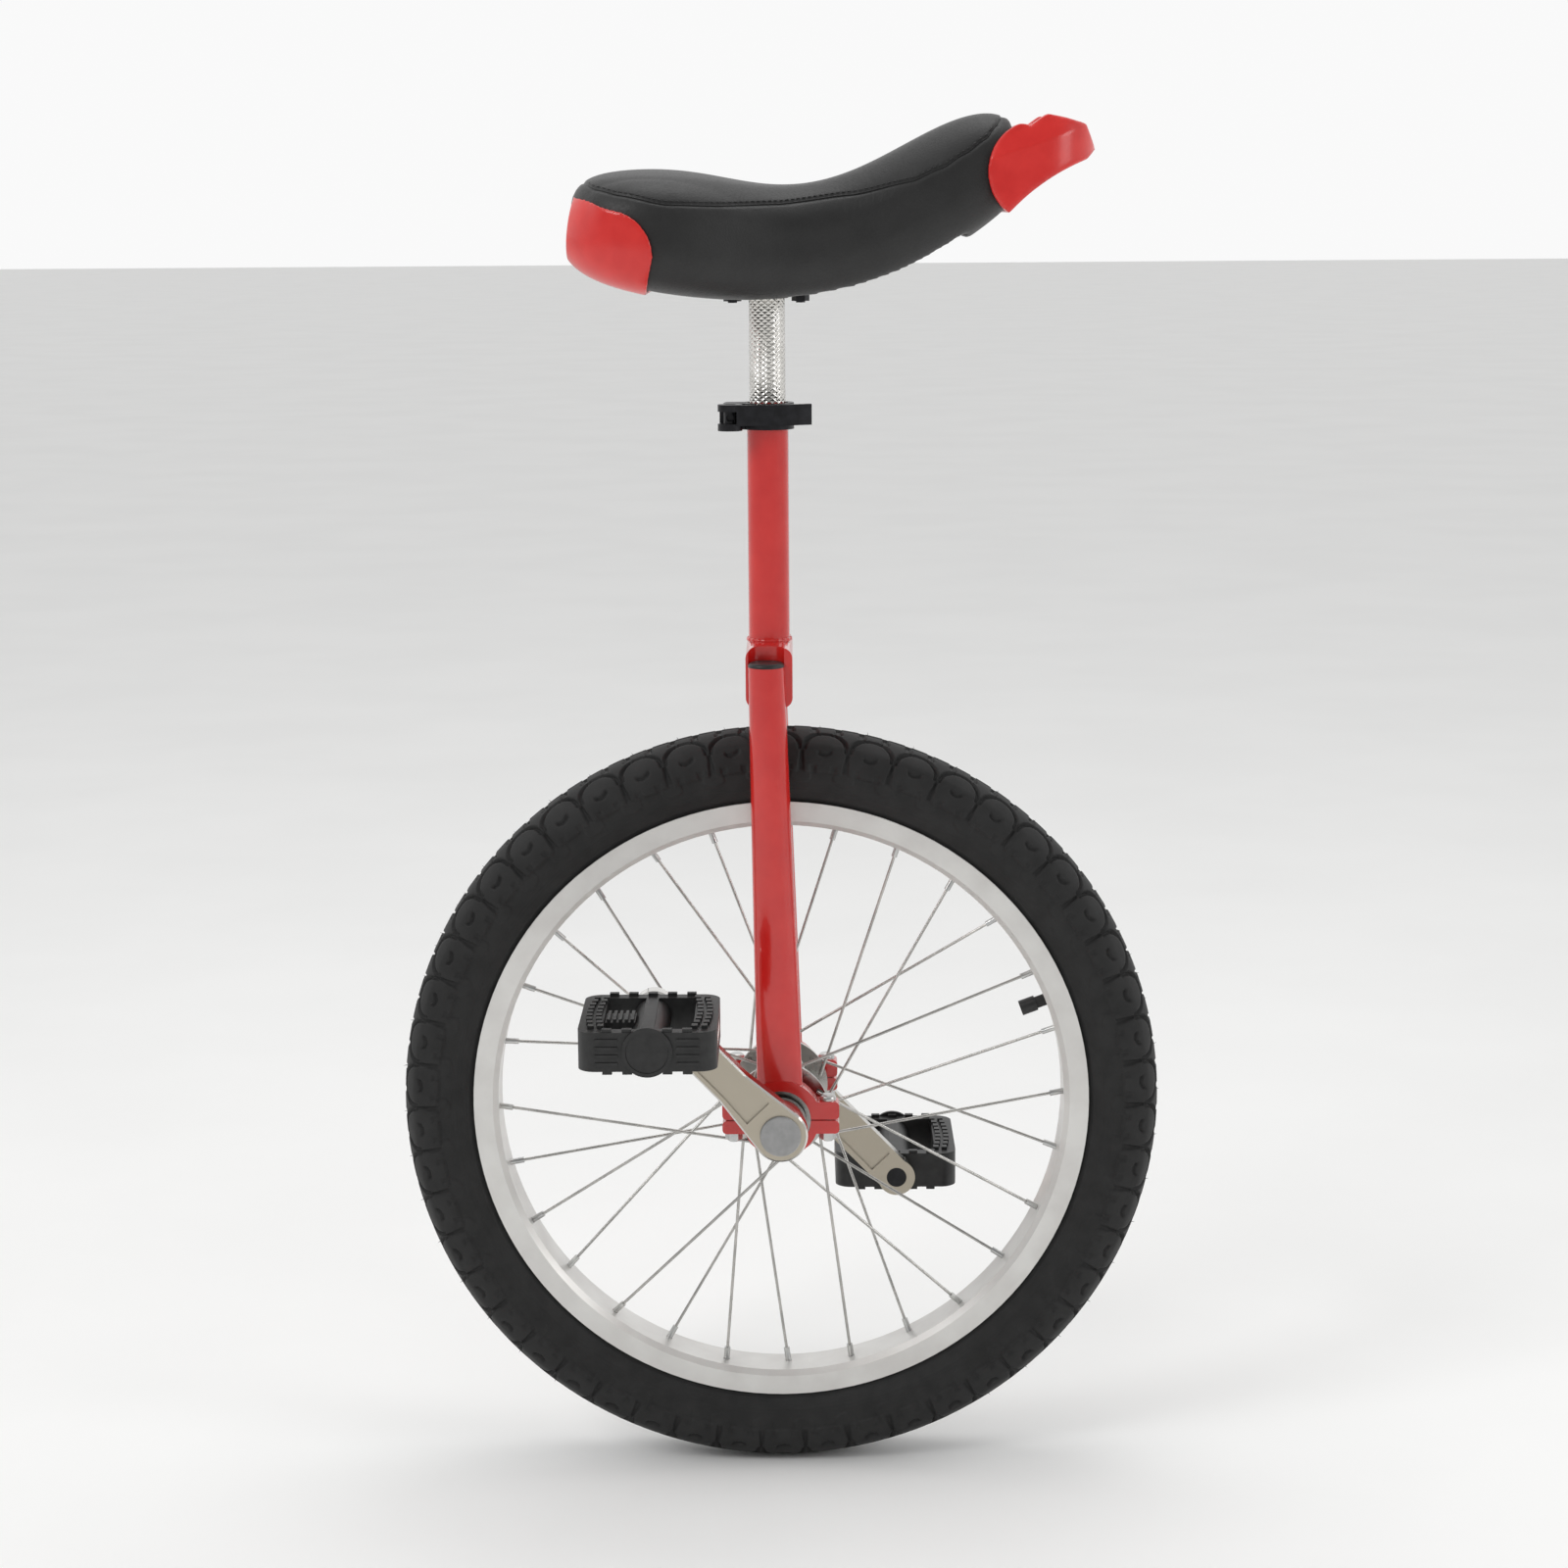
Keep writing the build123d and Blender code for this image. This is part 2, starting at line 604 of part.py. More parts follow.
def pedal_body(sign):
    """A moulded block pedal with two windows beside its spindle barrel."""
    x, z = pedal_centre(sign)
    core = PEDAL_CORE_THICKNESS / 2
    middle = sign * (PEDAL_INNER + PEDAL_OUTER) / 2
    plan = Pos(x, middle, z - core) * RectangleRounded(PEDAL_LENGTH, PEDAL_WIDTH, 11)
    frame = extrude(plan, amount=PEDAL_CORE_THICKNESS)
    wall = 9.0
    window_end = PEDAL_LENGTH / 2 - 15
    windows = []
    for end in (-1, 1):
        a = x + end * (PEDAL_BARREL_RADIUS - 8)
        b = x + end * window_end
        windows.append(block(a, b, sign * (PEDAL_INNER + wall), sign * (PEDAL_OUTER - wall), z - 20, z + 20))
        face = x + end * PEDAL_LENGTH / 2
        windows.append(block(face - end * 2.4, face + end, middle - 27, middle + 27, z - 5.5, z + 5.5))
    body = frame - windows
    body += bar_y(PEDAL_BARREL_RADIUS, sign * (PEDAL_INNER + 1), sign * (PEDAL_OUTER - 1), x, z)
    ring_start = sign * (PEDAL_OUTER - 1)
    body += bar_y(PEDAL_CAP_RADIUS + 2.6, ring_start, ring_start + sign * 2.4, x, z)
    for end in (-1, 1):
        for level in (-7.5, -2.5, 2.5, 7.5):
            a = x + end * (PEDAL_CAP_RADIUS + 5)
            b = x + end * (PEDAL_LENGTH / 2 - 11)
            body += block(a, b, ring_start, ring_start + sign * 1.9, z + level - 0.9, z + level + 0.9)
    body += pedal_treads(sign, x, z) + pedal_bridges(sign, x, z)
    bore = bar_y(PEDAL_BUSH_RADIUS, sign * (PEDAL_INNER - 2), sign * (PEDAL_OUTER + 3), x, z)
    seat = bar_y(PEDAL_CAP_RADIUS + 0.1, sign * (PEDAL_OUTER - 2), sign * (PEDAL_OUTER + 3), x, z)
    return body - [bore, seat]


def pedal_cap(sign):
    """The round cover over the pedal's outer end."""
    x, z = pedal_centre(sign)
    return bar_y(PEDAL_CAP_RADIUS, sign * (PEDAL_OUTER - 1.9), sign * (PEDAL_OUTER + 0.8), x, z)


def pedal_reflectors(sign):
    """An amber reflector in each end of the pedal."""
    x, z = pedal_centre(sign)
    middle = sign * (PEDAL_INNER + PEDAL_OUTER) / 2
    group = []
    for end in (-1, 1):
        face = x + end * PEDAL_LENGTH / 2
        group.append(block(face - end * 2.3, face - end * 0.2, middle - 26.8, middle + 26.8, z - 5.3, z + 5.3))
    return group


# Frame

def leg_loft(sign, inset):
    """One fork leg: round at the top, flattened towards the bearing holder."""
    foot_z = AXLE_HEIGHT + HOLDER_RADIUS - 9
    middle_z = (LEG_TOP + foot_z) / 2 - 10
    sections = []
    for z, half_x, half_y in (
        (LEG_TOP, LEG_RADIUS, LEG_RADIUS),
        (middle_z, LEG_FOOT_HALF_LENGTH - 1.4, LEG_RADIUS - 1.9),
        (foot_z, LEG_FOOT_HALF_LENGTH, HOLDER_WIDTH / 2),
    ):
        rise = (z - AXLE_HEIGHT) / (LEG_TOP - AXLE_HEIGHT)
        centre_x = (MAIN_TUBE_X - 1.8) * rise
        centre_y = sign * (BEARING_STATION + (LEG_TOP_Y - BEARING_STATION) * rise)
        sections.append(Pos(centre_x, centre_y, z) * Ellipse(half_x - inset, half_y - inset))
    return loft(sections)


def leg(sign):
    """A leg tube, coped over the top of its bearing holder."""
    shape = leg_loft(sign, 0) - leg_loft(sign, LEG_WALL)
    return shape - bar_y(HOLDER_RADIUS, sign * 30, sign * 70)


def leg_plugs():
    """The domed plug in the open top of each leg."""
    group = []
    for sign in (-1, 1):
        x = MAIN_TUBE_X - 1.8
        lid = post_z(LEG_RADIUS, LEG_TOP, LEG_TOP + PLUG_HEIGHT, x, sign * LEG_TOP_Y)
        lid = fillet(lid.edges().group_by(Axis.Z)[-1], PLUG_HEIGHT * 0.8)
        group.append(lid + post_z(LEG_RADIUS - LEG_WALL - 0.6, LEG_TOP - 8, LEG_TOP, x, sign * LEG_TOP_Y))
    return group


def crown():
    """The cross member that joins both legs to the main tube."""
    half = CROWN_LENGTH_X / 2
    x = MAIN_TUBE_X
    reach = LEG_TOP_Y - 3
    bar = block(x - half, x + half, -reach, reach, CROWN_TOP - CROWN_HEIGHT, CROWN_TOP)
    bar = fillet(bar.edges().filter_by(Axis.Y), 7)
    socket = post_z(MAIN_TUBE_RADIUS, CROWN_TOP - CROWN_HEIGHT + CROWN_FLOOR, CROWN_TOP + 5, x)
    x = MAIN_TUBE_X - 1.8
    radius = LEG_RADIUS + SEAT_GAP
    mouths = [post_z(radius, LEG_TOP, CROWN_TOP + 5, x, sign * LEG_TOP_Y) for sign in (-1, 1)]
    return bar - [socket, leg_loft(-1, 0), leg_loft(1, 0)] - mouths


def main_tube():
    """The tube that takes the seat post, slotted at the back so that the clamp can close it."""
    bottom = CROWN_TOP - CROWN_HEIGHT + CROWN_FLOOR
    tube = post_z(MAIN_TUBE_RADIUS, bottom, MAIN_TUBE_TOP, MAIN_TUBE_X)
    tube -= post_z(POST_RADIUS + POST_FIT, bottom - 1, MAIN_TUBE_TOP + 1, MAIN_TUBE_X)
    slot_end = MAIN_TUBE_X - POST_RADIUS / 2
    slot = block(MAIN_TUBE_X - 20, slot_end, -1.2, 1.2, MAIN_TUBE_TOP - 32, MAIN_TUBE_TOP + 1)
    return tube - slot


def holder_half(sign, part):
    """One half of a split bearing holder: part 1 is the welded top, part -1 the bolted cap."""
    half = HOLDER_WIDTH / 2
    middle = sign * BEARING_STATION
    low = AXLE_HEIGHT + part * HOLDER_SPLIT / 2
    thickness = EAR_THICKNESS if part > 0 else CAP_EAR_THICKNESS
    radius = HOLDER_RADIUS if part > 0 else HOLDER_RADIUS - 1.5
    ears = block(-EAR_SPAN / 2, EAR_SPAN / 2, middle - half, middle + half, low, low + part * thickness)
    ears = fillet(ears.edges().filter_by(Axis.Y), 3)
    body = ears + bar_y(radius, middle - half, middle + half)
    body -= block(-50, 50, middle - 20, middle + 20, low, AXLE_HEIGHT - part * 60)
    holes = [bar_y(BEARING_OUTER_RADIUS + HOLDER_FIT, middle - 20, middle + 20)]
    for end in (-1, 1):
        x = end * HOLDER_BOLT_SPACING / 2
        radius = HOLDER_BOLT_RADIUS + BOLT_CLEARANCE
        holes.append(post_z(radius, AXLE_HEIGHT - 30, AXLE_HEIGHT + 30, x, middle))
    return body - holes


def holder_bolts():
    """Two dome-headed bolts through each bearing holder."""
    group = []
    top = AXLE_HEIGHT + HOLDER_SPLIT / 2 + EAR_THICKNESS
    bottom = AXLE_HEIGHT - HOLDER_SPLIT / 2 - CAP_EAR_THICKNESS - 6.5
    for sign in (-1, 1):
        for end in (-1, 1):
            x = end * HOLDER_BOLT_SPACING / 2
            y = sign * BEARING_STATION
            head = post_z(5.6, top, top + 4, x, y)
            head = fillet(head.edges().group_by(Axis.Z)[-1], 3)
            group.append(head + post_z(HOLDER_BOLT_RADIUS, bottom, top, x, y))
    return group


def holder_nuts():
    """The nut under each holder bolt."""
    group = []
    top = AXLE_HEIGHT - HOLDER_SPLIT / 2 - CAP_EAR_THICKNESS
    for sign in (-1, 1):
        for end in (-1, 1):
            x = end * HOLDER_BOLT_SPACING / 2
            y = sign * BEARING_STATION
            nut = hex_bar_z(5.8, top - 5, top, x, y)
            group.append(nut - post_z(HOLDER_BOLT_RADIUS, top - 8, top + 1, x, y))
    return group


# Seat clamp

def clamp_collar():
    """The split collar with two ears at the back."""
    ring = post_z(CLAMP_RADIUS, CLAMP_BOTTOM, CLAMP_TOP, MAIN_TUBE_X)
    ear_end = SKEWER_X - 7
    half = CLAMP_EAR_WIDTH / 2
    ears = block(ear_end, MAIN_TUBE_X, -half, half, CLAMP_BOTTOM, CLAMP_TOP)
    ears = fillet(ears.edges().filter_by(Axis.Y).group_by(Axis.X)[0], 5)
    bore = post_z(MAIN_TUBE_RADIUS, CLAMP_BOTTOM - 1, CLAMP_TOP + 1, MAIN_TUBE_X)
    gap = block(ear_end - 1, MAIN_TUBE_X, -CLAMP_GAP / 2, CLAMP_GAP / 2, CLAMP_BOTTOM - 1, CLAMP_TOP + 1)
    hole = bar_y(SKEWER_RADIUS + BOLT_CLEARANCE, -30, 30, SKEWER_X, SKEWER_Z)
    return ring + ears - [bore, gap, hole]


def clamp_skewer():
    """The bolt through the clamp's ears."""
    return bar_y(SKEWER_RADIUS, PIVOT_Y, CLAMP_EAR_WIDTH / 2 + 7, SKEWER_X, SKEWER_Z)


def clamp_nut():
    """The thumb nut on the far side of the clamp."""
    face = CLAMP_EAR_WIDTH / 2
    return ring_y(6, SKEWER_RADIUS, face, face + 6, SKEWER_X, SKEWER_Z)


def clamp_barrel():
    """The upright pin that the lever turns on, drilled for the skewer."""
    pin = post_z(PIVOT_RADIUS, CLAMP_BOTTOM + 0.3, CLAMP_TOP - 0.3, SKEWER_X, PIVOT_Y)
    return pin - bar_y(SKEWER_RADIUS, PIVOT_Y - 10, PIVOT_Y + 10, SKEWER_X, SKEWER_Z)


def clamp_lever():
    """The cam lever: two eyes on the barrel and a blade that curves round the collar."""
    eye = Pos(SKEWER_X, PIVOT_Y) * Circle(LEVER_EYE_RADIUS)
    start = (SKEWER_X + 3, PIVOT_Y - 5)
    bend = (MAIN_TUBE_X + 8, -CLAMP_RADIUS - 5)
    tip = (MAIN_TUBE_X + 28, -CLAMP_RADIUS + 2)
    blade = trace(ThreePointArc(start, bend, tip), LEVER_THICKNESS)
    hole = Pos(SKEWER_X, PIVOT_Y) * Circle(PIVOT_RADIUS + RUNNING_FIT)
    blade_height = CLAMP_HEIGHT - 3.5
    fork = Pos(0, 0, CLAMP_BOTTOM) * extrude(eye, amount=CLAMP_HEIGHT)
    lever = fork + Pos(0, 0, CLAMP_TOP - blade_height) * extrude(blade, amount=blade_height)
    cuts = [Pos(0, 0, CLAMP_BOTTOM - 1) * extrude(hole, amount=CLAMP_HEIGHT + 2)]
    throat = post_z(LEVER_EYE_RADIUS + 0.5, SKEWER_Z - 4, SKEWER_Z + 4, SKEWER_X, PIVOT_Y)
    cuts.append(throat)
    return lever - cuts


# Seat post and saddle

def seat_post():
    """The post with the plate that the saddle bolts to."""
    post = post_z(POST_RADIUS, POST_BOTTOM, PLATE_TOP - PLATE_THICKNESS, MAIN_TUBE_X)
    post -= post_z(POST_RADIUS - POST_WALL, POST_BOTTOM - 1, PLATE_TOP - PLATE_THICKNESS - 2, MAIN_TUBE_X)
    plan = Pos(MAIN_TUBE_X, 0, PLATE_TOP - PLATE_THICKNESS) * RectangleRounded(PLATE_LENGTH, PLATE_WIDTH, 6)
    post += extrude(plan, amount=PLATE_THICKNESS)
    radius = SADDLE_BOLT_RADIUS + BOLT_CLEARANCE
    return post - [post_z(radius, PLATE_TOP - 10, PLATE_TOP + 10, x, y) for x, y in saddle_bolt_places()]


def saddle_bolt_places():
    """The four bolts between the saddle and the post's plate."""
    return [(MAIN_TUBE_X + a * SADDLE_BOLT_X, b * SADDLE_BOLT_Y) for a in (-1, 1) for b in (-1, 1)]


def saddle_bolts():
    """Flat-headed bolts that stand down out of the saddle's base."""
    top = PLATE_TOP + SEAT_GAP + BASE_THICKNESS + 1.0
    group = []
    for x, y in saddle_bolt_places():
        shank = post_z(SADDLE_BOLT_RADIUS, PLATE_TOP - PLATE_THICKNESS - 5.5, top, x, y)
        group.append(shank + post_z(6.5, top, top + 2, x, y))
    return group


def saddle_nuts():
    """The nut under the plate on each saddle bolt."""
    top = PLATE_TOP - PLATE_THICKNESS
    group = []
    for x, y in saddle_bolt_places():
        group.append(hex_bar_z(5.8, top - 4.5, top, x, y) - post_z(SADDLE_BOLT_RADIUS, top - 6, top + 1, x, y))
    return group


def saddle_body(grow):
    """The cushion's outside, moved outwards by the amount given."""
    sections = []
    for index, (x, low, high, half_width) in enumerate(SADDLE_STATIONS):
        shift = 0.0
        if index == 0:
            shift = -grow
        if index == len(SADDLE_STATIONS) - 1:
            shift = grow
        middle = SADDLE_BOTTOM + (low + high) / 2
        plane = Plane(origin=(x + shift, 0, middle), x_dir=(0, 1, 0), z_dir=(1, 0, 0))
        height = high - low
        sections.append(plane * RectangleRounded(2 * (half_width + grow), height + 2 * grow, 0.4 * height + grow))
    return loft(sections)


def base_band(low_offset, high_offset, half_width):
    """A bent plate that follows the saddle's underside between two heights above it."""
    def level(x, rise, offset):
        return (x, SADDLE_BOTTOM + rise + offset)
    lower = ThreePointArc(level(-104, 12, low_offset), level(-50, 2, low_offset), level(0, 0, low_offset))
    lower += ThreePointArc(level(0, 0, low_offset), level(65, 8, low_offset), level(122, 36, low_offset))
    upper = ThreePointArc(level(-104, 12, high_offset), level(-50, 2, high_offset), level(0, 0, high_offset))
    upper += ThreePointArc(level(0, 0, high_offset), level(65, 8, high_offset), level(122, 36, high_offset))
    ends = Line(level(-104, 12, low_offset), level(-104, 12, high_offset))
    ends += Line(level(122, 36, low_offset), level(122, 36, high_offset))
    return side_prism(make_face(lower + upper + ends), -half_width, half_width)


def saddle_base():
    """The stiff plastic base inside the cover."""
    plate = base_band(BASE_RECESS, BASE_RECESS + BASE_THICKNESS, BASE_HALF_WIDTH)
    radius = SADDLE_BOLT_RADIUS + BOLT_CLEARANCE
    holes = [post_z(radius, SADDLE_BOTTOM, SADDLE_BOTTOM + 30, x, y) for x, y in saddle_bolt_places()]
    return plate - holes


def saddle_pocket():
    """The space under the cushion for the base, the plate and the bolts."""
    top = BASE_RECESS + BASE_THICKNESS + SEAT_GAP
    pocket = [base_band(-30, top, BASE_HALF_WIDTH + SEAT_GAP)]
    head = SADDLE_BOTTOM + BASE_RECESS + BASE_THICKNESS + 4
    for x, y in saddle_bolt_places():
        pocket.append(post_z(7.2, SADDLE_BOTTOM, head, x, y))
    return pocket


def saddle_foam():
    """The cushion inside the cover."""
    return saddle_body(-COVER_THICKNESS - 0.2) - saddle_pocket()


def saddle_cover():
    """The stitched cover, a thin skin over the cushion."""
    return saddle_body(0) - saddle_body(-COVER_THICKNESS) - saddle_pocket()


def rear_bumper():
    """The moulded guard round the back of the saddle."""
    outline = Polyline((-150, 77.5), (-130, 66.5), (-102, 58))
    outline += ThreePointArc((-102, 58), (-82, 46.5), (-76, 28.5))
    outline += Polyline((-76, 28.5), (-83, -1.5), (-150, -1.5), (-150, 77.5))
    window = Pos(0, 0, SADDLE_BOTTOM) * side_prism(make_face(outline), -90, 90)
    return (saddle_body(SHELL_THICKNESS) - saddle_body(SEAT_GAP)) & window


def front_handle():
    """The guard round the saddle's nose with a raised grip bar and a finger gap behind it."""
    outline = ThreePointArc((156, 110), (135.5, 76.5), (149, 54))
    outline += ThreePointArc((149, 54), (172, 73.5), (200, 87.5))
    outline += Polyline((200, 87.5), (206.5, 94), (199, 110), (184, 114), (173, 116), (163, 109), (156, 110))
    block_shape = side_prism(make_face(outline), -HANDLE_HALF_WIDTH, HANDLE_HALF_WIDTH)
    plan = Polyline((120, -HANDLE_HALF_WIDTH), (166, -HANDLE_HALF_WIDTH + 4))
    plan += ThreePointArc((166, -HANDLE_HALF_WIDTH + 4), (207, 0), (166, HANDLE_HALF_WIDTH - 4))
    plan += Polyline((166, HANDLE_HALF_WIDTH - 4), (120, HANDLE_HALF_WIDTH), (120, -HANDLE_HALF_WIDTH))
    body = block_shape & extrude(Pos(0, 0, 43.5) * make_face(plan), amount=90)
    middle = (FINGER_GAP_REAR + FINGER_GAP_FRONT) / 2
    length = FINGER_GAP_FRONT - FINGER_GAP_REAR
    finger = Pos(middle, 0, 43.5) * RectangleRounded(length, 2 * FINGER_GAP_HALF_WIDTH, 9)
    return Pos(0, 0, SADDLE_BOTTOM) * (body - extrude(finger, amount=90)) - saddle_body(SEAT_GAP)


NODES = {
    "tyre": tyre,
    "inner_tube": inner_tube,
    "rim_tape": rim_tape,
    "rim": rim,
    "spokes": spokes,
    "nipples": nipples,
    "valve_stem": valve_stem,
    "valve_cap": valve_cap,
    "hub_shell": hub_shell,
    "axle": axle,
    "bearing_spacers": bearing_spacers,
    "bearing_inner_races": lambda: races(INNER_RACE_RADIUS, AXLE_RADIUS),
    "bearing_outer_races": lambda: races(BEARING_OUTER_RADIUS, OUTER_RACE_BORE),
    "bearing_seals": bearing_seals,
    "crank_bolts": crank_bolts,
    "crank_caps": crank_caps,
    "pedal_spindles": pedal_spindles,
    "pedal_nuts": pedal_nuts,
    "leg_plugs": leg_plugs,
    "crown": crown,
    "main_tube": main_tube,
    "holder_bolts": holder_bolts,
    "holder_nuts": holder_nuts,
    "clamp_collar": clamp_collar,
    "clamp_skewer": clamp_skewer,
    "clamp_nut": clamp_nut,
    "clamp_barrel": clamp_barrel,
    "clamp_lever": clamp_lever,
    "seat_post": seat_post,
    "saddle_bolts": saddle_bolts,
    "saddle_nuts": saddle_nuts,
    "saddle_base": saddle_base,
    "saddle_foam": saddle_foam,
    "saddle_cover": saddle_cover,
    "rear_bumper": rear_bumper,
    "front_handle": front_handle,
}

SIDE_NODES = {
    "crank": crank,
    "pedal_body": pedal_body,
    "pedal_bushes": pedal_bushes,
    "pedal_cap": pedal_cap,
    "pedal_reflectors": pedal_reflectors,
    "bearing_balls": bearing_balls,
    "leg": leg,
    "bearing_holder": lambda sign: holder_half(sign, 1),
    "bearing_cap": lambda sign: holder_half(sign, -1),
}


def write_node(name, shape):
    """Write one node, a single solid or a group of separate ones."""
    pieces = shape if isinstance(shape, list) else [shape]
    solids = [solid for piece in pieces for solid in piece.solids()]
    export_step(Compound(children=solids, label=name), f"parts/{name}.step")


os.makedirs("parts", exist_ok=True)
for name, make in NODES.items():
    write_node(name, make())
for kind, make in SIDE_NODES.items():
    for side, sign in SIDES.items():
        write_node(f"{side}_{kind}", make(sign))
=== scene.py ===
import json
import math

import bmesh
import bpy
from mathutils import Matrix, Vector, noise
from mathutils.bvhtree import BVHTree


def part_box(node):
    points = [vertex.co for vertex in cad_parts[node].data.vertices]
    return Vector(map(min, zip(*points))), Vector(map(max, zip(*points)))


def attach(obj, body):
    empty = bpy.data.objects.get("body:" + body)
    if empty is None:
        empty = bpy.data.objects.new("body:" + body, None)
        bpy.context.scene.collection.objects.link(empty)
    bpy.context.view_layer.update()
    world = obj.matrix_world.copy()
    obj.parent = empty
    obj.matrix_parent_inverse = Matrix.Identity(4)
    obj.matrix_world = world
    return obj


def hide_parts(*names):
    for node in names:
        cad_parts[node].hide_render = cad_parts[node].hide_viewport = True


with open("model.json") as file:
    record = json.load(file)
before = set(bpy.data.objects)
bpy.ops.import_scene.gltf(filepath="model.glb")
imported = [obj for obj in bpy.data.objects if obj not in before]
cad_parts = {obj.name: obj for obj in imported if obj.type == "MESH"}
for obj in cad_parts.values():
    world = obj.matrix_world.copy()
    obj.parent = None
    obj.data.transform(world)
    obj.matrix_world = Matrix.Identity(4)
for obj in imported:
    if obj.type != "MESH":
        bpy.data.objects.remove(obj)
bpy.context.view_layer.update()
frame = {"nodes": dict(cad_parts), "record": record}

MM = 0.001
NODES = frame["nodes"]

# Places worked out from the frame
TYRE_LOW, TYRE_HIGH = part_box("tyre")
AXLE = (TYRE_LOW + TYRE_HIGH) / 2
AXLE.y = 0.0
TYRE_RADIUS = (TYRE_HIGH.z - TYRE_LOW.z) / 2
TYRE_HALF_WIDTH = (TYRE_HIGH.y - TYRE_LOW.y) / 2
RIM_LOW, RIM_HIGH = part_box("rim")
RIM_RADIUS = (RIM_HIGH.z - RIM_LOW.z) / 2
TUBE_LOW, TUBE_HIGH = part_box("main_tube")
TUBE_X = (TUBE_LOW.x + TUBE_HIGH.x) / 2
TUBE_RADIUS = (TUBE_HIGH.x - TUBE_LOW.x) / 2

# Tyre, in millimetres. Places on the tread are distances out from the crown along the casing.
TREAD_PERIODS = 50
TREAD_STEPS = 40
CASING_STEP = 0.8
TREAD_HEIGHT = 3.0
TREAD_SHOULDER_HEIGHT = 1.9
ARCH_TOP = 11.0
ARCH_SPRING = 24.0
ARCH_CAP_HALF_WIDTH = 4.0
SHIELD_HALF_WIDTH = 14.6
SHIELD_END = 38.0
GROOVE_HALF_WIDTH = 1.2
SIDE_GROOVE_HALF_WIDTH = 0.7
SIDE_GROOVE_FLARE = 0.12
CROWN_CUT_HALF_WIDTH = 1.5
SLIT_PLACE = 27.0
SLIT_HALF_LENGTH = 5.4
SLIT_DEPTH = 1.7
PAD_END = 47.0
PAD_HALF_WIDTH = 8.0
PAD_HEIGHT = 0.75
NOTCH_PLACE = 8.6
NOTCH_HALF_SIZE = 2.6
NOTCH_DEPTH = 1.1
SIDEWALL_LINES = (50.0, 52.2, 60.0)
SIDEWALL_LINE_HEIGHT = 0.3
BEAD_HALF_WIDTH = 15.7
BEAD_THICKNESS = 3.3
BEAD_FOOT_DEPTH = 5.5
WHISKER_HALF_WIDTH = 0.4
WHISKER_HALF_TURN = 0.0015

# Saddle seam: x and height above the axle, in millimetres
SEAM_POINTS = (
    (-124, 615), (-112, 610), (-97, 606.5), (-67, 600.5), (-35, 599.5), (3, 600.4),
    (50, 606), (87, 614), (106, 622), (121, 631), (134, 640), (141, 648), (146, 655),
)
SEAM_WIDTH = 1.4 * MM
SEAM_DEPTH = 0.9 * MM
SEAM_CORD_RADIUS = 0.5 * MM
STITCH_PITCH = 3.6 * MM
STITCH_HALF_LENGTH = 1.3 * MM
STITCH_OFFSET = 2.0 * MM

# Cushion and guards
CUSHION_SLICE = 4 * MM
CUSHION_SWELL = 1.6 * MM
CUSHION_CROWN = 6.0 * MM
CUSHION_SHOULDER = 52 * MM
GUARD_LEAN = 5.5 * MM
GUARD_WAIST = 568 * MM
GUARD_RISE = 38 * MM
GRIP_CREASE = ((138, 628), (198, 647))
GRIP_CREASE_HEIGHT = 12 * MM
GRIP_CREASE_LEAN = 0.11

# Knurl on the seat post
KNURL_STARTS = 16.0
KNURL_LEAD = 3.4 * MM

# Weld beads
TUBE_WELD_RADIUS = 1.5 * MM
LEG_WELD_RADIUS = 1.3 * MM
LEG_WELD_Y = 38.5 * MM

# The room is bright behind the unicycle and dim on the viewer's side, as in a studio.
ROOM_FADE = {"From Min": -0.5, "From Max": 0.35, "To Min": 0.35, "To Max": 0.95}
FLOOR_HALF_SIZE = 40.0
LIGHT_AIM = Vector((0, 0, 0.5))
LIGHTS = (
    ("key_light", (-2.2, -1.9, 2.6), 1.3, 34.0),
    ("side_light", (2.6, -1.2, 1.4), 1.0, 14.0),
    ("top_light", (0.2, 0.4, 3.2), 1.6, 16.0),
)

# Camera: its place in metres, with the height counted from the axle, and its angles in radians
CAMERA_PLACE = Vector((0.0146, -2.0054, AXLE.z + 0.603))
CAMERA_YAW = -0.0056
CAMERA_PITCH = 0.1899
CAMERA_ROLL = -0.0070
CAMERA_LENS = 69.8


# Nodes and colours

def linear(hex_colour):
    """An sRGB hex colour as linear red, green, blue and alpha."""
    values = [int(hex_colour[i:i + 2], 16) / 255 for i in (1, 3, 5)]
    return tuple(v / 12.92 if v <= 0.04045 else ((v + 0.055) / 1.055) ** 2.4 for v in values) + (1.0,)


def add(tree, kind, settings=None, links=None):
    """Add one node, set its values and link its inputs."""
    node = tree.nodes.new(kind)
    for name, value in (settings or {}).items():
        if isinstance(name, int) or name in node.inputs:
            node.inputs[name].default_value = value
        else:
            setattr(node, name, value)
    for name, source in (links or {}).items():
        tree.links.new(source, node.inputs[name])
    return node


def new_material(name, **surface):
    """An empty material with its shader set to constant surface values."""
    material = bpy.data.materials.new(name)
    material.use_nodes = True
    tree = material.node_tree
    shader = tree.nodes["Principled BSDF"]
    for socket, value in surface.items():
        shader.inputs[socket.replace("_", " ")].default_value = value
    place = add(tree, "ShaderNodeTexCoord").outputs["Object"]
    return material, tree, shader, place


def tone(tree, factor, dark, light, low=0.35, high=0.65):
    """A colour that runs between two hex values as the factor rises."""
    ramp = add(tree, "ShaderNodeValToRGB", links={"Fac": factor})
    ramp.color_ramp.elements[0].position = low
    ramp.color_ramp.elements[1].position = high
    ramp.color_ramp.elements[0].color = linear(dark)
    ramp.color_ramp.elements[1].color = linear(light)
    return ramp.outputs["Color"]


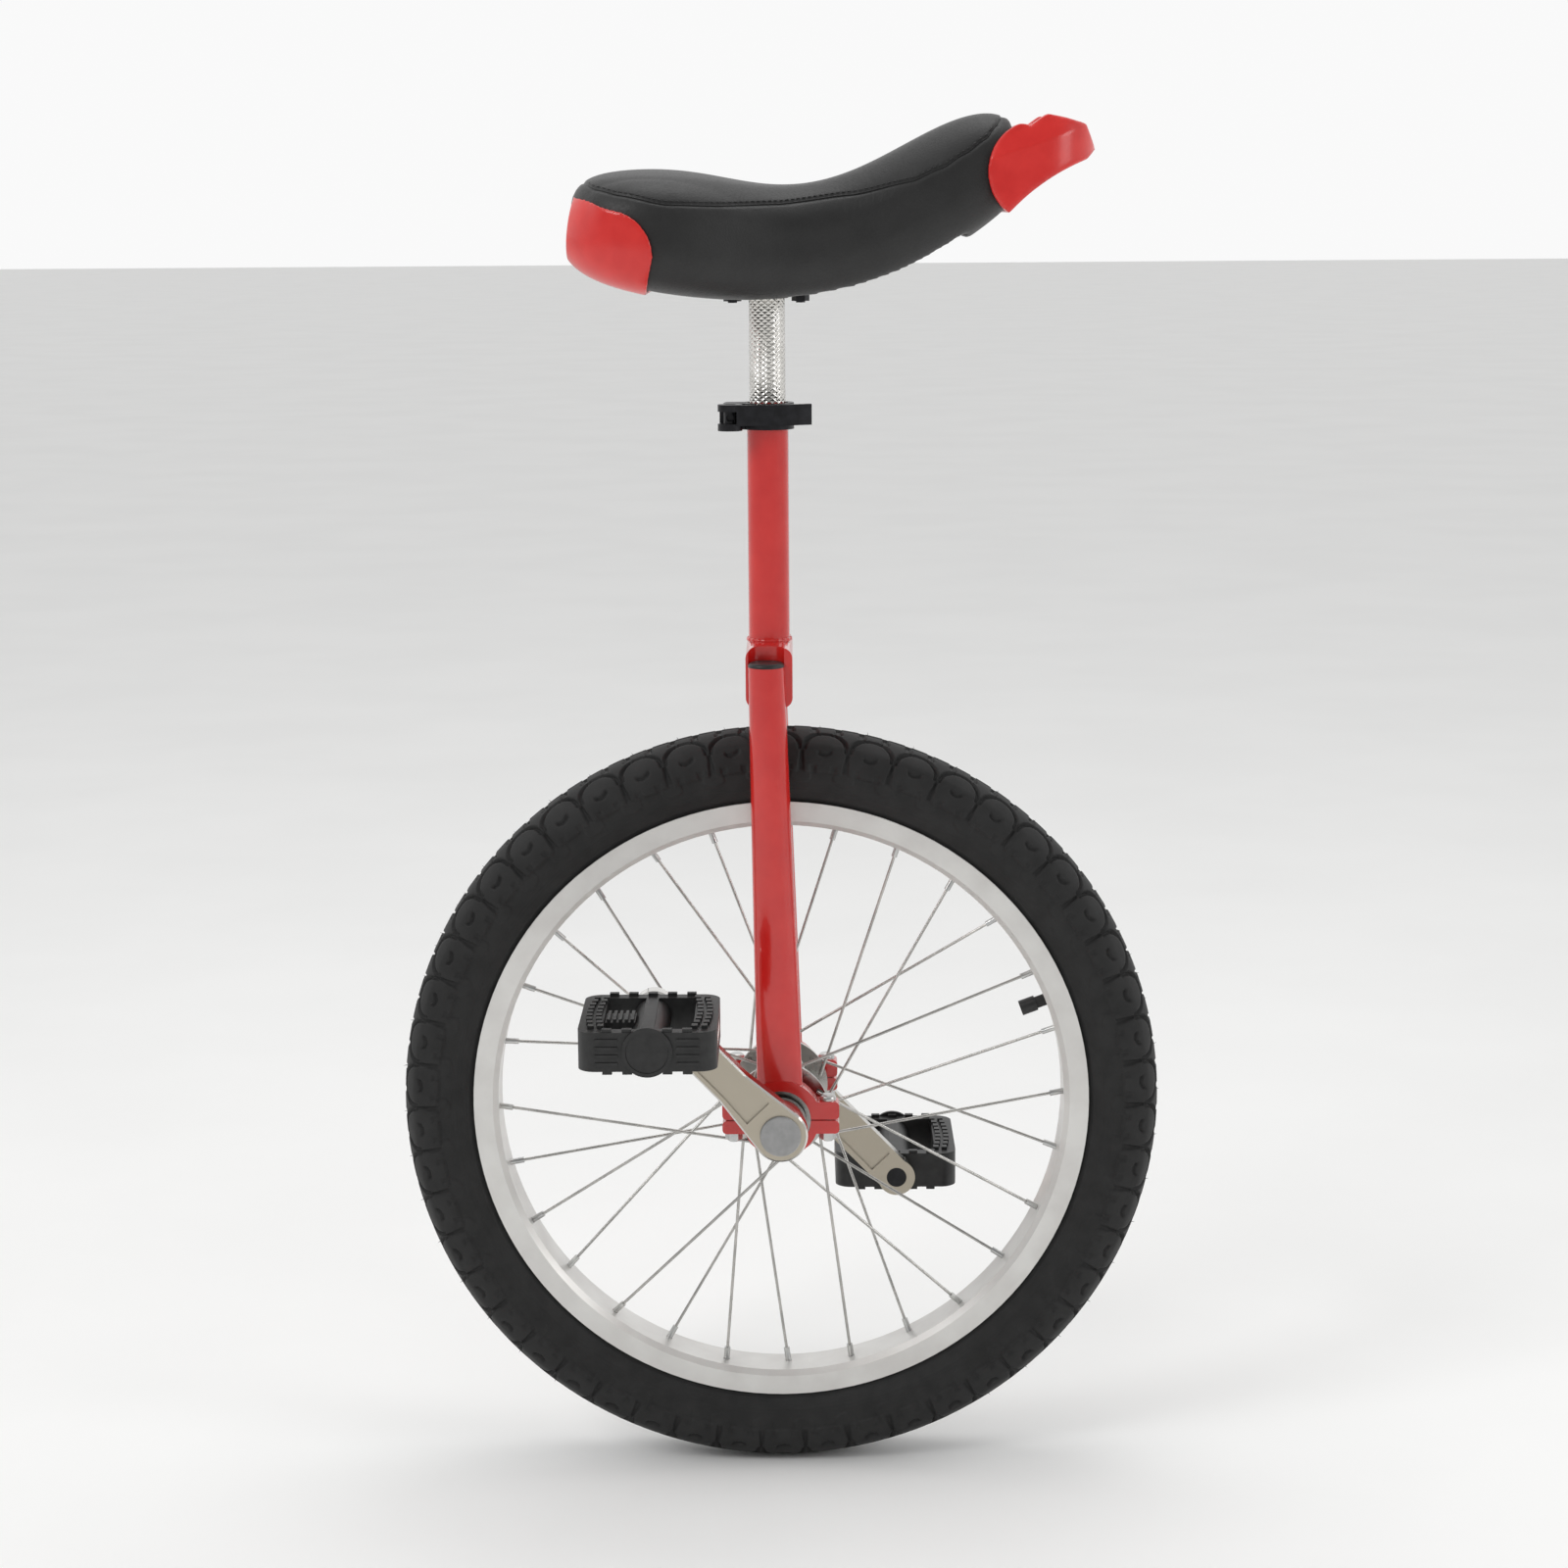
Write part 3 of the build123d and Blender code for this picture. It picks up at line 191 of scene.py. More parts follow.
def spread(tree, factor, low, high):
    """A number that runs from low to high as the factor runs from 0 to 1."""
    node = add(tree, "ShaderNodeMapRange", {"To Min": low, "To Max": high}, {"Value": factor})
    return node.outputs["Result"]


def bump(tree, shader, height, depth_mm, strength=1.0):
    """Raise the surface by the height pattern."""
    node = add(tree, "ShaderNodeBump", {"Strength": strength, "Distance": depth_mm * MM}, {"Height": height})
    tree.links.new(node.outputs["Normal"], shader.inputs["Normal"])


def grain(tree, place, size_mm, detail=4.0):
    """Soft noise with its main lumps of the size given."""
    settings = {"Scale": 1 / (size_mm * MM), "Detail": detail}
    return add(tree, "ShaderNodeTexNoise", settings, {"Vector": place}).outputs["Fac"]


def finish(name, dark, light, size_mm, depth_mm, rough, rough_spread=0.08, **surface):
    """A plain finish: two close tones, a fine texture and a roughness that wanders."""
    material, tree, shader, place = new_material(name, **surface)
    broad = grain(tree, place, size_mm * 9)
    fine = grain(tree, place, size_mm)
    tree.links.new(tone(tree, broad, dark, light), shader.inputs["Base Color"])
    tree.links.new(spread(tree, broad, rough - rough_spread, rough + rough_spread), shader.inputs["Roughness"])
    bump(tree, shader, fine, depth_mm)
    return material


# Materials

def red_lacquer():
    """Gloss lacquer sprayed on steel: deep, wet highlights with a faint orange peel."""
    return finish("sprayed_red_lacquer", "#C91C19", "#D32722", 3.0, 0.012, 0.22, 0.05,
                  Coat_Weight=0.6, Coat_Roughness=0.06, IOR=1.5)


def moulded_red():
    """Injection-moulded glossy plastic: softer highlights than the paint, slight flow marks."""
    return finish("moulded_red_plastic", "#D01F1B", "#DA2A25", 2.0, 0.015, 0.30, 0.06,
                  Coat_Weight=0.25, Coat_Roughness=0.15, IOR=1.49)


def black_rubber():
    """Moulded tyre rubber: nearly black, dull, with a dry bloom and a fine cast texture."""
    material, tree, shader, place = new_material("moulded_tyre_rubber", IOR=1.45)
    broad = grain(tree, place, 14.0)
    fine = grain(tree, place, 0.9, 6.0)
    tree.links.new(tone(tree, broad, "#161616", "#202020"), shader.inputs["Base Color"])
    tree.links.new(spread(tree, fine, 0.55, 0.72), shader.inputs["Roughness"])
    bump(tree, shader, fine, 0.12, 0.8)
    return material


def fade(tree, value, start, end):
    """A factor that rises from 0 to 1 between two values."""
    node = add(tree, "ShaderNodeMapRange", {"From Min": start, "From Max": end}, {"Value": value})
    return node.outputs["Result"]


def calculate(tree, operation, *terms):
    """One sum on numbers and node outputs, in order."""
    numbers = {k: term for k, term in enumerate(terms) if isinstance(term, float)}
    sources = {k: term for k, term in enumerate(terms) if not isinstance(term, float)}
    return add(tree, "ShaderNodeMath", {"operation": operation, **numbers}, sources).outputs["Value"]


def grained_vinyl():
    """Embossed vinyl over foam: a pebble grain about a millimetre across and a soft sheen."""
    material, tree, shader, place = new_material("embossed_black_vinyl", IOR=1.5, Sheen_Weight=0.08)
    cells = add(tree, "ShaderNodeTexVoronoi", {"Scale": 1 / (1.3 * MM), "Randomness": 1.0}, {"Vector": place})
    pebbles = cells.outputs["Distance"]
    # Upright wrinkles where the nose bends up, between two stations along the saddle.
    stretched = add(tree, "ShaderNodeMapping", {"Scale": (1.0, 0.4, 0.12)}, {"Vector": place}).outputs["Vector"]
    wrinkle = grain(tree, stretched, 3.2, 3.0)
    along = add(tree, "ShaderNodeSeparateXYZ", links={"Vector": place}).outputs["X"]
    where = calculate(tree, "MULTIPLY", fade(tree, along, 0.0, 0.045), fade(tree, along, 0.130, 0.085))
    folds = calculate(tree, "MULTIPLY", where, wrinkle)
    height = calculate(tree, "MULTIPLY_ADD", folds, 3.0, pebbles)
    broad = grain(tree, place, 20.0)
    tree.links.new(tone(tree, broad, "#131313", "#1B1B1B"), shader.inputs["Base Color"])
    tree.links.new(spread(tree, pebbles, 0.42, 0.58), shader.inputs["Roughness"])
    bump(tree, shader, height, 0.14, 0.55)
    return material


def around_axle(tree, place):
    """Distance from the axle, for marks that run round the wheel."""
    centred = add(tree, "ShaderNodeVectorMath", {"operation": "SUBTRACT", 1: AXLE}, {0: place}).outputs["Vector"]
    flat = add(tree, "ShaderNodeVectorMath", {"operation": "MULTIPLY", 1: (1, 0, 1)}, {0: centred}).outputs["Vector"]
    return add(tree, "ShaderNodeVectorMath", {"operation": "LENGTH"}, {0: flat}).outputs["Value"]


def satin_rim():
    """Anodised extruded aluminium: pale, satin, with faint drawn lines round the wheel."""
    material, tree, shader, place = new_material("anodised_rim_aluminium", Metallic=0.55)
    settings = {"noise_dimensions": "1D", "Scale": 1400.0, "Detail": 3.0}
    drawn = add(tree, "ShaderNodeTexNoise", settings, {"W": around_axle(tree, place)}).outputs["Fac"]
    broad = grain(tree, place, 30.0)
    tree.links.new(tone(tree, broad, "#D5D3D0", "#E0DFDC"), shader.inputs["Base Color"])
    tree.links.new(spread(tree, drawn, 0.30, 0.46), shader.inputs["Roughness"])
    bump(tree, shader, drawn, 0.02, 0.5)
    return material


def knurled_post():
    """Chromed steel tube rolled with a slanting knurl that breaks its reflections up."""
    material, tree, shader, place = new_material("knurled_chrome_steel", Metallic=1.0)
    parts = add(tree, "ShaderNodeSeparateXYZ", links={"Vector": place}).outputs
    turn = calculate(tree, "ARCTAN2", parts["Y"], calculate(tree, "SUBTRACT", parts["X"], TUBE_X))
    starts = calculate(tree, "MULTIPLY", turn, KNURL_STARTS)
    ridges = []
    for lean in (-1, 1):
        rise = calculate(tree, "MULTIPLY_ADD", parts["Z"], lean * 2 * math.pi / KNURL_LEAD, starts)
        ridges.append(calculate(tree, "SINE", rise))
    knurl = calculate(tree, "MAXIMUM", *ridges)
    broad = grain(tree, place, 12.0)
    tree.links.new(tone(tree, broad, "#CFCDC8", "#E3E1DD"), shader.inputs["Base Color"])
    tree.links.new(spread(tree, broad, 0.10, 0.22), shader.inputs["Roughness"])
    bump(tree, shader, knurl, 0.22, 0.9)
    return material


def crank_metal():
    """Forged crank, bright plated on its edges and satin on its flat faces."""
    material, tree, shader, place = new_material("plated_crank_alloy", Metallic=1.0)
    normal = add(tree, "ShaderNodeTexCoord").outputs["Normal"]
    across = add(tree, "ShaderNodeSeparateXYZ", links={"Vector": normal}).outputs["Y"]
    flat = fade(tree, calculate(tree, "ABSOLUTE", across), 0.80, 0.97)
    tree.links.new(tone(tree, flat, "#DAD8D4", "#B9B1A2"), shader.inputs["Base Color"])
    tree.links.new(spread(tree, flat, 0.14, 0.42), shader.inputs["Roughness"])
    bump(tree, shader, grain(tree, place, 1.2), 0.03, 0.6)
    return material


def amber_lens():
    """Clear amber plastic with small prisms moulded in it."""
    material, tree, shader, place = new_material("amber_reflector_plastic", IOR=1.49, Coat_Weight=0.6)
    cells = add(tree, "ShaderNodeTexVoronoi", {"Scale": 1 / (2.2 * MM), "Randomness": 0.0}, {"Vector": place})
    prisms = cells.outputs["Distance"]
    tree.links.new(tone(tree, prisms, "#F08A10", "#B84A04"), shader.inputs["Base Color"])
    tree.links.new(spread(tree, prisms, 0.12, 0.3), shader.inputs["Roughness"])
    bump(tree, shader, prisms, 0.4, 0.8)
    return material


def make_materials():
    """Every finish on the unicycle, by the record's slot name."""
    return {
        "painted_steel": red_lacquer(),
        "red_plastic": moulded_red(),
        "tyre_rubber": black_rubber(),
        "grained_vinyl": grained_vinyl(),
        "satin_rim": satin_rim(),
        "knurled_chrome": knurled_post(),
        "chromed_crank": crank_metal(),
        "amber_reflector": amber_lens(),
        # Moulded black caps: fine matt grain and a tone that wanders a little.
        "black_plug": finish("moulded_black_cap", "#191919", "#232323", 0.8, 0.04, 0.42, IOR=1.5),
        # Zinc-plated steel: bluish white with a soft uneven shine.
        "zinc_steel": finish("zinc_plated_steel", "#B9BABA", "#D4D4D1", 1.5, 0.02, 0.30, 0.1, Metallic=1.0),
        # Ground bearing steel: smooth and grey.
        "bearing_steel": finish("ground_bearing_steel", "#8E8E8C", "#A9A8A5", 1.0, 0.01, 0.24, Metallic=1.0),
        # Nitrile rubber: soft black, no shine.
        "seal_rubber": finish("nitrile_rubber", "#1B1B1B", "#242424", 0.7, 0.05, 0.65, IOR=1.5),
        # Black anodised aluminium: dark with a dry metallic edge light.
        "black_alloy": finish("black_anodised_alloy", "#17171A", "#222226", 0.6, 0.02, 0.36, Metallic=0.5),
        # Drawn stainless wire and the pressed hub: bright grey.
        "spoke_steel": finish("drawn_stainless_steel", "#A9A8A5", "#C6C4C0", 2.0, 0.012, 0.27, Metallic=1.0),
        # Grey moulded nylon with a spark-eroded texture.
        "grey_cap": finish("textured_grey_nylon", "#9F9F9F", "#ABABAB", 0.5, 0.05, 0.52, 0.05, IOR=1.53),
        # Moulded black polypropylene: satin grain and a tone that wanders a little.
        "pedal_plastic": finish("moulded_pedal_plastic", "#171717", "#252525", 0.7, 0.06, 0.44, IOR=1.49),
        # Saddle base: coarser matt grain, a little duller than the pedals.
        "base_plastic": finish("moulded_saddle_base", "#1A1A1A", "#222222", 1.0, 0.05, 0.5, IOR=1.49),
        # Cut open-cell foam: pale, dull and rough.
        "foam": finish("cut_seat_foam", "#6B675C", "#7B766A", 1.0, 0.2, 0.9, 0.05),
    }


def dress_frame(materials):
    """Give every carried-over node its finish."""
    for part in frame["record"]["subparts"]:
        mesh = NODES[part["node"]].data
        mesh.materials.clear()
        mesh.materials.append(materials[part["material_slot"]])
    # These show as black metal on the object, unlike the rest of their slots.
    for name in ("saddle_bolts", "saddle_nuts", "pedal_spindles"):
        NODES[name].data.materials[0] = materials["black_alloy"]


# Mesh helpers

def piece(name, bm, material, body):
    """Turn a bmesh into a named piece that rides on a body."""
    mesh = bpy.data.meshes.new(name)
    bmesh.ops.recalc_face_normals(bm, faces=bm.faces)
    bm.to_mesh(mesh)
    bm.free()
    mesh.materials.append(material)
    obj = bpy.data.objects.new(name, mesh)
    bpy.context.scene.collection.objects.link(obj)
    for polygon in mesh.polygons:
        polygon.use_smooth = True
    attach(obj, body)
    return obj


def ease(value):
    """Rise smoothly from 0 to 1 as the value does."""
    value = min(1.0, max(0.0, value))
    return value * value * (3 - 2 * value)


def curve_value(points, x):
    """A smooth value through listed points, flat past the ends."""
    if x <= points[0][0]:
        return points[0][1]
    if x >= points[-1][0]:
        return points[-1][1]
    for (x0, y0), (x1, y1) in zip(points, points[1:]):
        if x <= x1:
            t = (x - x0) / (x1 - x0)
            t = ease(t) * 0.4 + t * 0.6
            return y0 + (y1 - y0) * t
    return points[-1][1]


def on_wheel(y, radius, angle):
    """A point by its distance across, its radius and its angle round the wheel."""
    return Vector((radius * math.cos(angle), y, AXLE.z + radius * math.sin(angle)))


def ring_about(bm, centre, side, out, radius, count):
    """Evenly spaced vertices on a circle spanned by two directions."""
    turns = [2 * math.pi * k / count for k in range(count)]
    return [bm.verts.new(centre + (side * math.cos(t) + out * math.sin(t)) * radius) for t in turns]


def join_rings(bm, rings):
    """Skin a run of rings and close its ends."""
    count = len(rings[0])
    for low, high in zip(rings, rings[1:]):
        for k in range(count):
            bm.faces.new((low[k], low[(k + 1) % count], high[(k + 1) % count], high[k]))
    bm.faces.new(rings[0])
    bm.faces.new(rings[-1])


# Tyre

def arc_points(start, middle, end, count):
    """Evenly spaced points on the arc through three points."""
    (ax, ay), (bx, by), (cx, cy) = start, middle, end
    d = 2 * (ax * (by - cy) + bx * (cy - ay) + cx * (ay - by))
    sa, sb, sc = ax * ax + ay * ay, bx * bx + by * by, cx * cx + cy * cy
    ux = (sa * (by - cy) + sb * (cy - ay) + sc * (ay - by)) / d
    uy = (sa * (cx - bx) + sb * (ax - cx) + sc * (bx - ax)) / d
    radius = math.hypot(ax - ux, ay - uy)
    first = math.atan2(ay - uy, ax - ux)
    via = (math.atan2(by - uy, bx - ux) - first) % (2 * math.pi)
    last = (math.atan2(cy - uy, cx - ux) - first) % (2 * math.pi)
    if via > last:
        last -= 2 * math.pi
    steps = [first + last * i / count for i in range(count + 1)]
    return [(ux + radius * math.cos(a), uy + radius * math.sin(a)) for a in steps]


def casing_profile():
    """One half of the casing under the tread, from the middle of the crown to the bead."""
    crown = TYRE_RADIUS - TREAD_HEIGHT * MM
    shoulder = (0.76 * TYRE_HALF_WIDTH, crown - 6.5 * MM)
    bead = (BEAD_HALF_WIDTH * MM, RIM_RADIUS + 0.5 * MM)
    bulge = (TYRE_HALF_WIDTH - 1.3 * MM, (RIM_RADIUS + TYRE_RADIUS) / 2 - 1 * MM)
    over = arc_points((0, crown), (0.42 * TYRE_HALF_WIDTH, crown - 1.7 * MM), shoulder, 16)
    side = arc_points(shoulder, bulge, bead, 40)
    return over + side[1:]


def section_points(profile):
    """Even stations along the half casing: distance from the crown, point and outward direction."""
    points = []
    travelled = 0.0
    target = 0.0
    for (y0, r0), (y1, r1) in zip(profile, profile[1:]):
        step = math.hypot(y1 - y0, r1 - r0)
        out = Vector((r0 - r1, y1 - y0)).normalized()
        while target <= travelled + step:
            t = (target - travelled) / step
            points.append((target / MM, y0 + (y1 - y0) * t, r0 + (r1 - r0) * t, out))
            target += CASING_STEP * MM
        travelled += step
    return points


def groove(distance, half_width):
    """1 in the middle of a groove, falling to 0 past its edges."""
    return 1 - ease((abs(distance) - half_width + 0.4) / 0.8)


def block_cut(centre, edge, out):
    """How deeply the grooves between blocks cut, as a share of the tread's height."""
    if out >= ARCH_SPRING:
        return groove(edge, SIDE_GROOVE_HALF_WIDTH + SIDE_GROOVE_FLARE * (out - ARCH_SPRING))
    if out <= ARCH_TOP and centre >= ARCH_CAP_HALF_WIDTH:
        return 0.0
    arch = ARCH_SPRING - ARCH_TOP
    away = math.hypot(centre / SHIELD_HALF_WIDTH, (ARCH_SPRING - out) / arch) - 1
    return groove(away * 0.5 * (SHIELD_HALF_WIDTH + arch), GROOVE_HALF_WIDTH)


def tread_height(s, out, pitch):
    """How far the moulded pattern stands above the casing, in millimetres.

    s runs round the wheel within one pitch and out runs from the crown to the bead.
    """
    offset = s - pitch / 2
    centre = abs(offset)
    edge = min(s, pitch - s)
    full = TREAD_HEIGHT + (TREAD_SHOULDER_HEIGHT - TREAD_HEIGHT) * ease((out - 8) / 26)
    height = full * (1 - block_cut(centre, edge, out))
    # Slanting cuts across the crown and the line along its middle
    if out < ARCH_TOP - 1:
        quarter = abs(centre - pitch / 4)
        height *= 1 - groove(quarter - 0.12 * out, CROWN_CUT_HALF_WIDTH) * 0.85
        height *= 1 - 0.6 * groove(out, 0.8)
    # The short bowed slit in each shield
    if centre < SLIT_HALF_LENGTH:
        bow = SLIT_PLACE - 0.07 * offset ** 2 + 0.1 * offset
        height -= SLIT_DEPTH * groove(out - bow, 1.0) * ease((SLIT_HALF_LENGTH - centre) / 1.2)
    # Past the shields, low pads hang down between them
    if out > SHIELD_END - 1:
        height *= 1 - ease((out - SHIELD_END) / 1.2)
        hem = PAD_END - 0.05 * edge * edge
        pad = PAD_HEIGHT * ease((PAD_HALF_WIDTH - edge) / 0.9) * ease((hem - out) / 1.2)
        height = max(height, pad)
    # A notch at each lower corner of a shield
    corner = max(abs(edge - NOTCH_PLACE) * 0.9, abs(out - SHIELD_END + 1.5) * 0.8)
    if corner < NOTCH_HALF_SIZE:
        height -= NOTCH_DEPTH * ease((NOTCH_HALF_SIZE - corner) / 1.4)
    for line in SIDEWALL_LINES:
        height += SIDEWALL_LINE_HEIGHT * groove(out - line, 0.5)
    return height


def inner_wall():
    """The inside of the tyre's section, from one bead round to the other."""
    foot = RIM_RADIUS - BEAD_FOOT_DEPTH * MM
    half = [
        ((BEAD_HALF_WIDTH - 0.1) * MM, foot),
        ((BEAD_HALF_WIDTH - BEAD_THICKNESS) * MM, foot),
        (0.8 * TYRE_HALF_WIDTH, TYRE_RADIUS - 28 * MM),
        (0.6 * TYRE_HALF_WIDTH, TYRE_RADIUS - 11 * MM),
    ]
    return half + [(-y, r) for y, r in reversed(half)]


def moulded_side(half, side, s, pitch):
    """One side of the section with its moulded pattern, at a place within the pitch."""
    row = []
    for out, y, r, normal in half:
        lift = tread_height(s % pitch, out, pitch) * MM
        row.append((side * (y + normal.x * lift), r + normal.y * lift))
    return row


def build_casing():
    """The tyre as one closed ring: moulded outside, plain inside wall."""
    pitch = 2 * math.pi * TYRE_RADIUS / MM / TREAD_PERIODS
    half = section_points(casing_profile())
    sections = []
    for k in range(TREAD_STEPS):
        s = pitch * k / TREAD_STEPS
        right = moulded_side(half, -1, s, pitch)
        left = moulded_side(half, 1, s + pitch / 2, pitch)
        sections.append(right[::-1] + left[1:] + inner_wall())
    turns = TREAD_PERIODS * TREAD_STEPS
    verts = [
        on_wheel(y, r, 2 * math.pi * k / turns)
        for k in range(turns)
        for y, r in sections[k % TREAD_STEPS]
    ]
    count = len(sections[0])
    faces = []
    for k in range(turns):
        a, b = k * count, (k + 1) % turns * count
        for i in range(count):
            j = (i + 1) % count
            faces.append((a + i, b + i, b + j, a + j))
    return verts, faces


def add_whiskers(bm):
    """Thin rubber vent hairs left on the tread, except where the tyre stands on the ground."""
    turn = 2 * math.pi / TREAD_PERIODS
    for k in range(TREAD_PERIODS):
        for lean, y in ((0.18, -9 * MM), (0.61, 7 * MM)):
            angle = (k + lean) * turn
            if math.sin(angle) < -0.85:
                continue
            length = (1.6 + 1.2 * noise.random()) * MM
            tip = bm.verts.new(on_wheel(y, TYRE_RADIUS + length - 1 * MM, angle + 0.004))
            ring = []
            for across, round_wheel in ((-1, -1), (1, -1), (1, 1), (-1, 1)):
                foot_y = y + across * WHISKER_HALF_WIDTH * MM
                foot_angle = angle + round_wheel * WHISKER_HALF_TURN
                ring.append(bm.verts.new(on_wheel(foot_y, TYRE_RADIUS - 3 * MM, foot_angle)))
            for i in range(4):
                bm.faces.new((ring[i], ring[(i + 1) % 4], tip))


def build_tyre(material):
    """The tyre with its moulded tread."""
    verts, faces = build_casing()
    mesh = bpy.data.meshes.new("casing")
    mesh.from_pydata(verts, [], faces)
    bm = bmesh.new()
    bm.from_mesh(mesh)
    bpy.data.meshes.remove(mesh)
    noise.seed_set(7)
    add_whiskers(bm)
    tyre = piece("treaded_tyre", bm, material, "wheel")
    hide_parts("tyre")


# Saddle

def remeshed_copy(name, node, voxel_mm, rounds):
    """A copy of a node's mesh, evened out and with its edges softened, ready to shape."""
    mesh = NODES[node].data.copy()
    mesh.materials.clear()
    obj = bpy.data.objects.new(name, mesh)
    bpy.context.scene.collection.objects.link(obj)
    weld = obj.modifiers.new("weld", "WELD")
    weld.merge_threshold = 0.01 * MM
    remesh = obj.modifiers.new("even", "REMESH")
    remesh.mode = "VOXEL"
    remesh.voxel_size = voxel_mm * MM
    smooth = obj.modifiers.new("soften", "SMOOTH")
    smooth.factor = 0.5
    smooth.iterations = rounds
    graph = bpy.context.evaluated_depsgraph_get()
    shaped = bpy.data.meshes.new_from_object(obj.evaluated_get(graph))
    bpy.data.objects.remove(obj)
    bm = bmesh.new()
    bm.from_mesh(shaped)
    bpy.data.meshes.remove(shaped)
    return bm


def seam_height(x):
    """The height of the stitched seam at a station."""
    return AXLE.z + curve_value(SEAM_POINTS, x / MM) * MM


def crown_cushion(bm):
    """Let the top fall away towards the sides and swell the skin out over the foam."""
    slices = {}
    for vert in bm.verts:
        key = round(vert.co.x / CUSHION_SLICE)
        low, high = slices.get(key, (math.inf, -math.inf))
        slices[key] = (min(low, vert.co.z), max(high, vert.co.z))
    bm.normal_update()
    for vert in bm.verts:
        low, high = slices[round(vert.co.x / CUSHION_SLICE)]
        up = max(0.0, (vert.co.z - (low + high) / 2) / max(1e-5, (high - low) / 2))
        out = min(1.0, abs(vert.co.y) / CUSHION_SHOULDER)
        vert.co += vert.normal * CUSHION_SWELL
        vert.co.z -= CUSHION_CROWN * up * out * out


def press_seam(bm):
    """Press the seam's groove into the sides of the cushion."""
    bm.normal_update()
    for vert in bm.verts:
        away = abs(vert.co.z - seam_height(vert.co.x)) / SEAM_WIDTH
        if away < 2.5 and vert.normal.z < 0.98:
            vert.co -= vert.normal * SEAM_DEPTH * math.exp(-1.5 * away * away)


def on_skin(tree, x, side, above):
    """The cushion's surface at a height above the seam, seen from one side."""
    start = Vector((x, side * 0.12, seam_height(x) + above))
    hit, normal, _, _ = tree.ray_cast(start, Vector((0, -side, 0)))
    return (hit, normal) if hit and normal.y * side > 0.05 else None


def thread_ring(bm, centre, along, normal, radius):
    """Six points round a thread that runs along the skin."""
    side = along.cross(normal).normalized()
    return ring_about(bm, centre, side, side.cross(along).normalized(), radius, 6)


def stitch_seams(tree, material):
    """A row of short stitches just above the seam on both sides, and the cord in the seam."""
    bm = bmesh.new()
    for side in (-1, 1):
        x = -118 * MM
        while x < 140 * MM:
            ends = [on_skin(tree, x + end * STITCH_HALF_LENGTH, side, STITCH_OFFSET) for end in (-1, 1)]
            if all(ends):
                add_stitch(bm, ends)
            x += STITCH_PITCH
        path = [on_skin(tree, x * MM, side, 0.0) for x in range(-122, 146, 2)]
        rings = [thread_ring(bm, hit + normal * 0.1 * MM, Vector((1, 0, 0)), normal, SEAM_CORD_RADIUS)
                 for hit, normal in filter(None, path)]
        join_rings(bm, rings)
    piece("saddle_stitching", bm, material, "seat")


def add_stitch(bm, ends):
    """One rounded stitch lying between two points on the skin."""
    (a, normal_a), (b, normal_b) = ends
    normal = (normal_a + normal_b).normalized()
    rings = []
    for t, size in ((0.0, 0.15), (0.2, 0.40), (0.5, 0.46), (0.8, 0.40), (1.0, 0.15)):
        centre = a.lerp(b, t) + normal * (size - 0.2) * MM
        rings.append(thread_ring(bm, centre, (b - a).normalized(), normal, size * MM))
    join_rings(bm, rings)


def round_guard(bm):
    """Curve the back of the rear guard so that it leans in towards its top edge."""
    for vert in bm.verts:
        back = ease((-105 - vert.co.x / MM) / 18)
        up = max(0.0, vert.co.z - AXLE.z - GUARD_WAIST) / GUARD_RISE
        vert.co.x += GUARD_LEAN * back * up * up


def crease_grip(bm):
    """Lean the top of the grip inwards above the crease that rises towards its front."""
    (x0, z0), (x1, z1) = GRIP_CREASE
    for vert in bm.verts:
        crease = AXLE.z + (z0 + (z1 - z0) * (vert.co.x / MM - x0) / (x1 - x0)) * MM
        above = (vert.co.z - crease) / GRIP_CREASE_HEIGHT
        if above > 0:
            vert.co.y *= 1 - GRIP_CREASE_LEAN * min(1.0, above)


def build_cushion(materials):
    """The vinyl cushion over its foam, with the pressed and stitched seam."""
    bm = remeshed_copy("cushion_blank", "saddle_foam", 2.4, 8)
    crown_cushion(bm)
    bmesh.ops.subdivide_edges(bm, edges=bm.edges, cuts=1, use_grid_fill=True)
    bmesh.ops.smooth_vert(bm, verts=bm.verts, factor=0.5, use_axis_x=True, use_axis_y=True, use_axis_z=True)
    press_seam(bm)
    tree = BVHTree.FromBMesh(bm)
    cover = piece("stitched_cover", bm, materials["grained_vinyl"], "seat")
    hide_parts("saddle_cover", "saddle_foam")
    stitch_seams(tree, materials["black_plug"])


def build_guards(material):
    """The two moulded guards, their edges rounded as they leave the mould."""
    bm = remeshed_copy("rear_guard_blank", "rear_bumper", 1.0, 14)
    round_guard(bm)
    shape = piece("rear_guard", bm, material, "seat")
    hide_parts("rear_bumper")
    bm = remeshed_copy("front_grip_blank", "front_handle", 1.2, 10)
    crease_grip(bm)
    shape = piece("front_grip", bm, material, "seat")
    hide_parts("front_handle")


# Frame welds

def weld_bead(name, path, bead_radius, material):
    """A weld bead with overlapping ripples along a path."""
    bm = bmesh.new()
    rings = []
    for i, point in enumerate(path):
        along = (path[min(i + 1, len(path) - 1)] - path[max(i - 1, 0)]).normalized()
        side = along.cross(Vector((0.3, 0.2, 0.9))).normalized()
        ripple = 1 + 0.16 * math.sin(i * 1.3) + 0.10 * noise.noise(point * 400)
        rings.append(ring_about(bm, point, side, side.cross(along).normalized(), bead_radius * ripple, 8))
    join_rings(bm, rings)
    piece(name, bm, material, "frame")


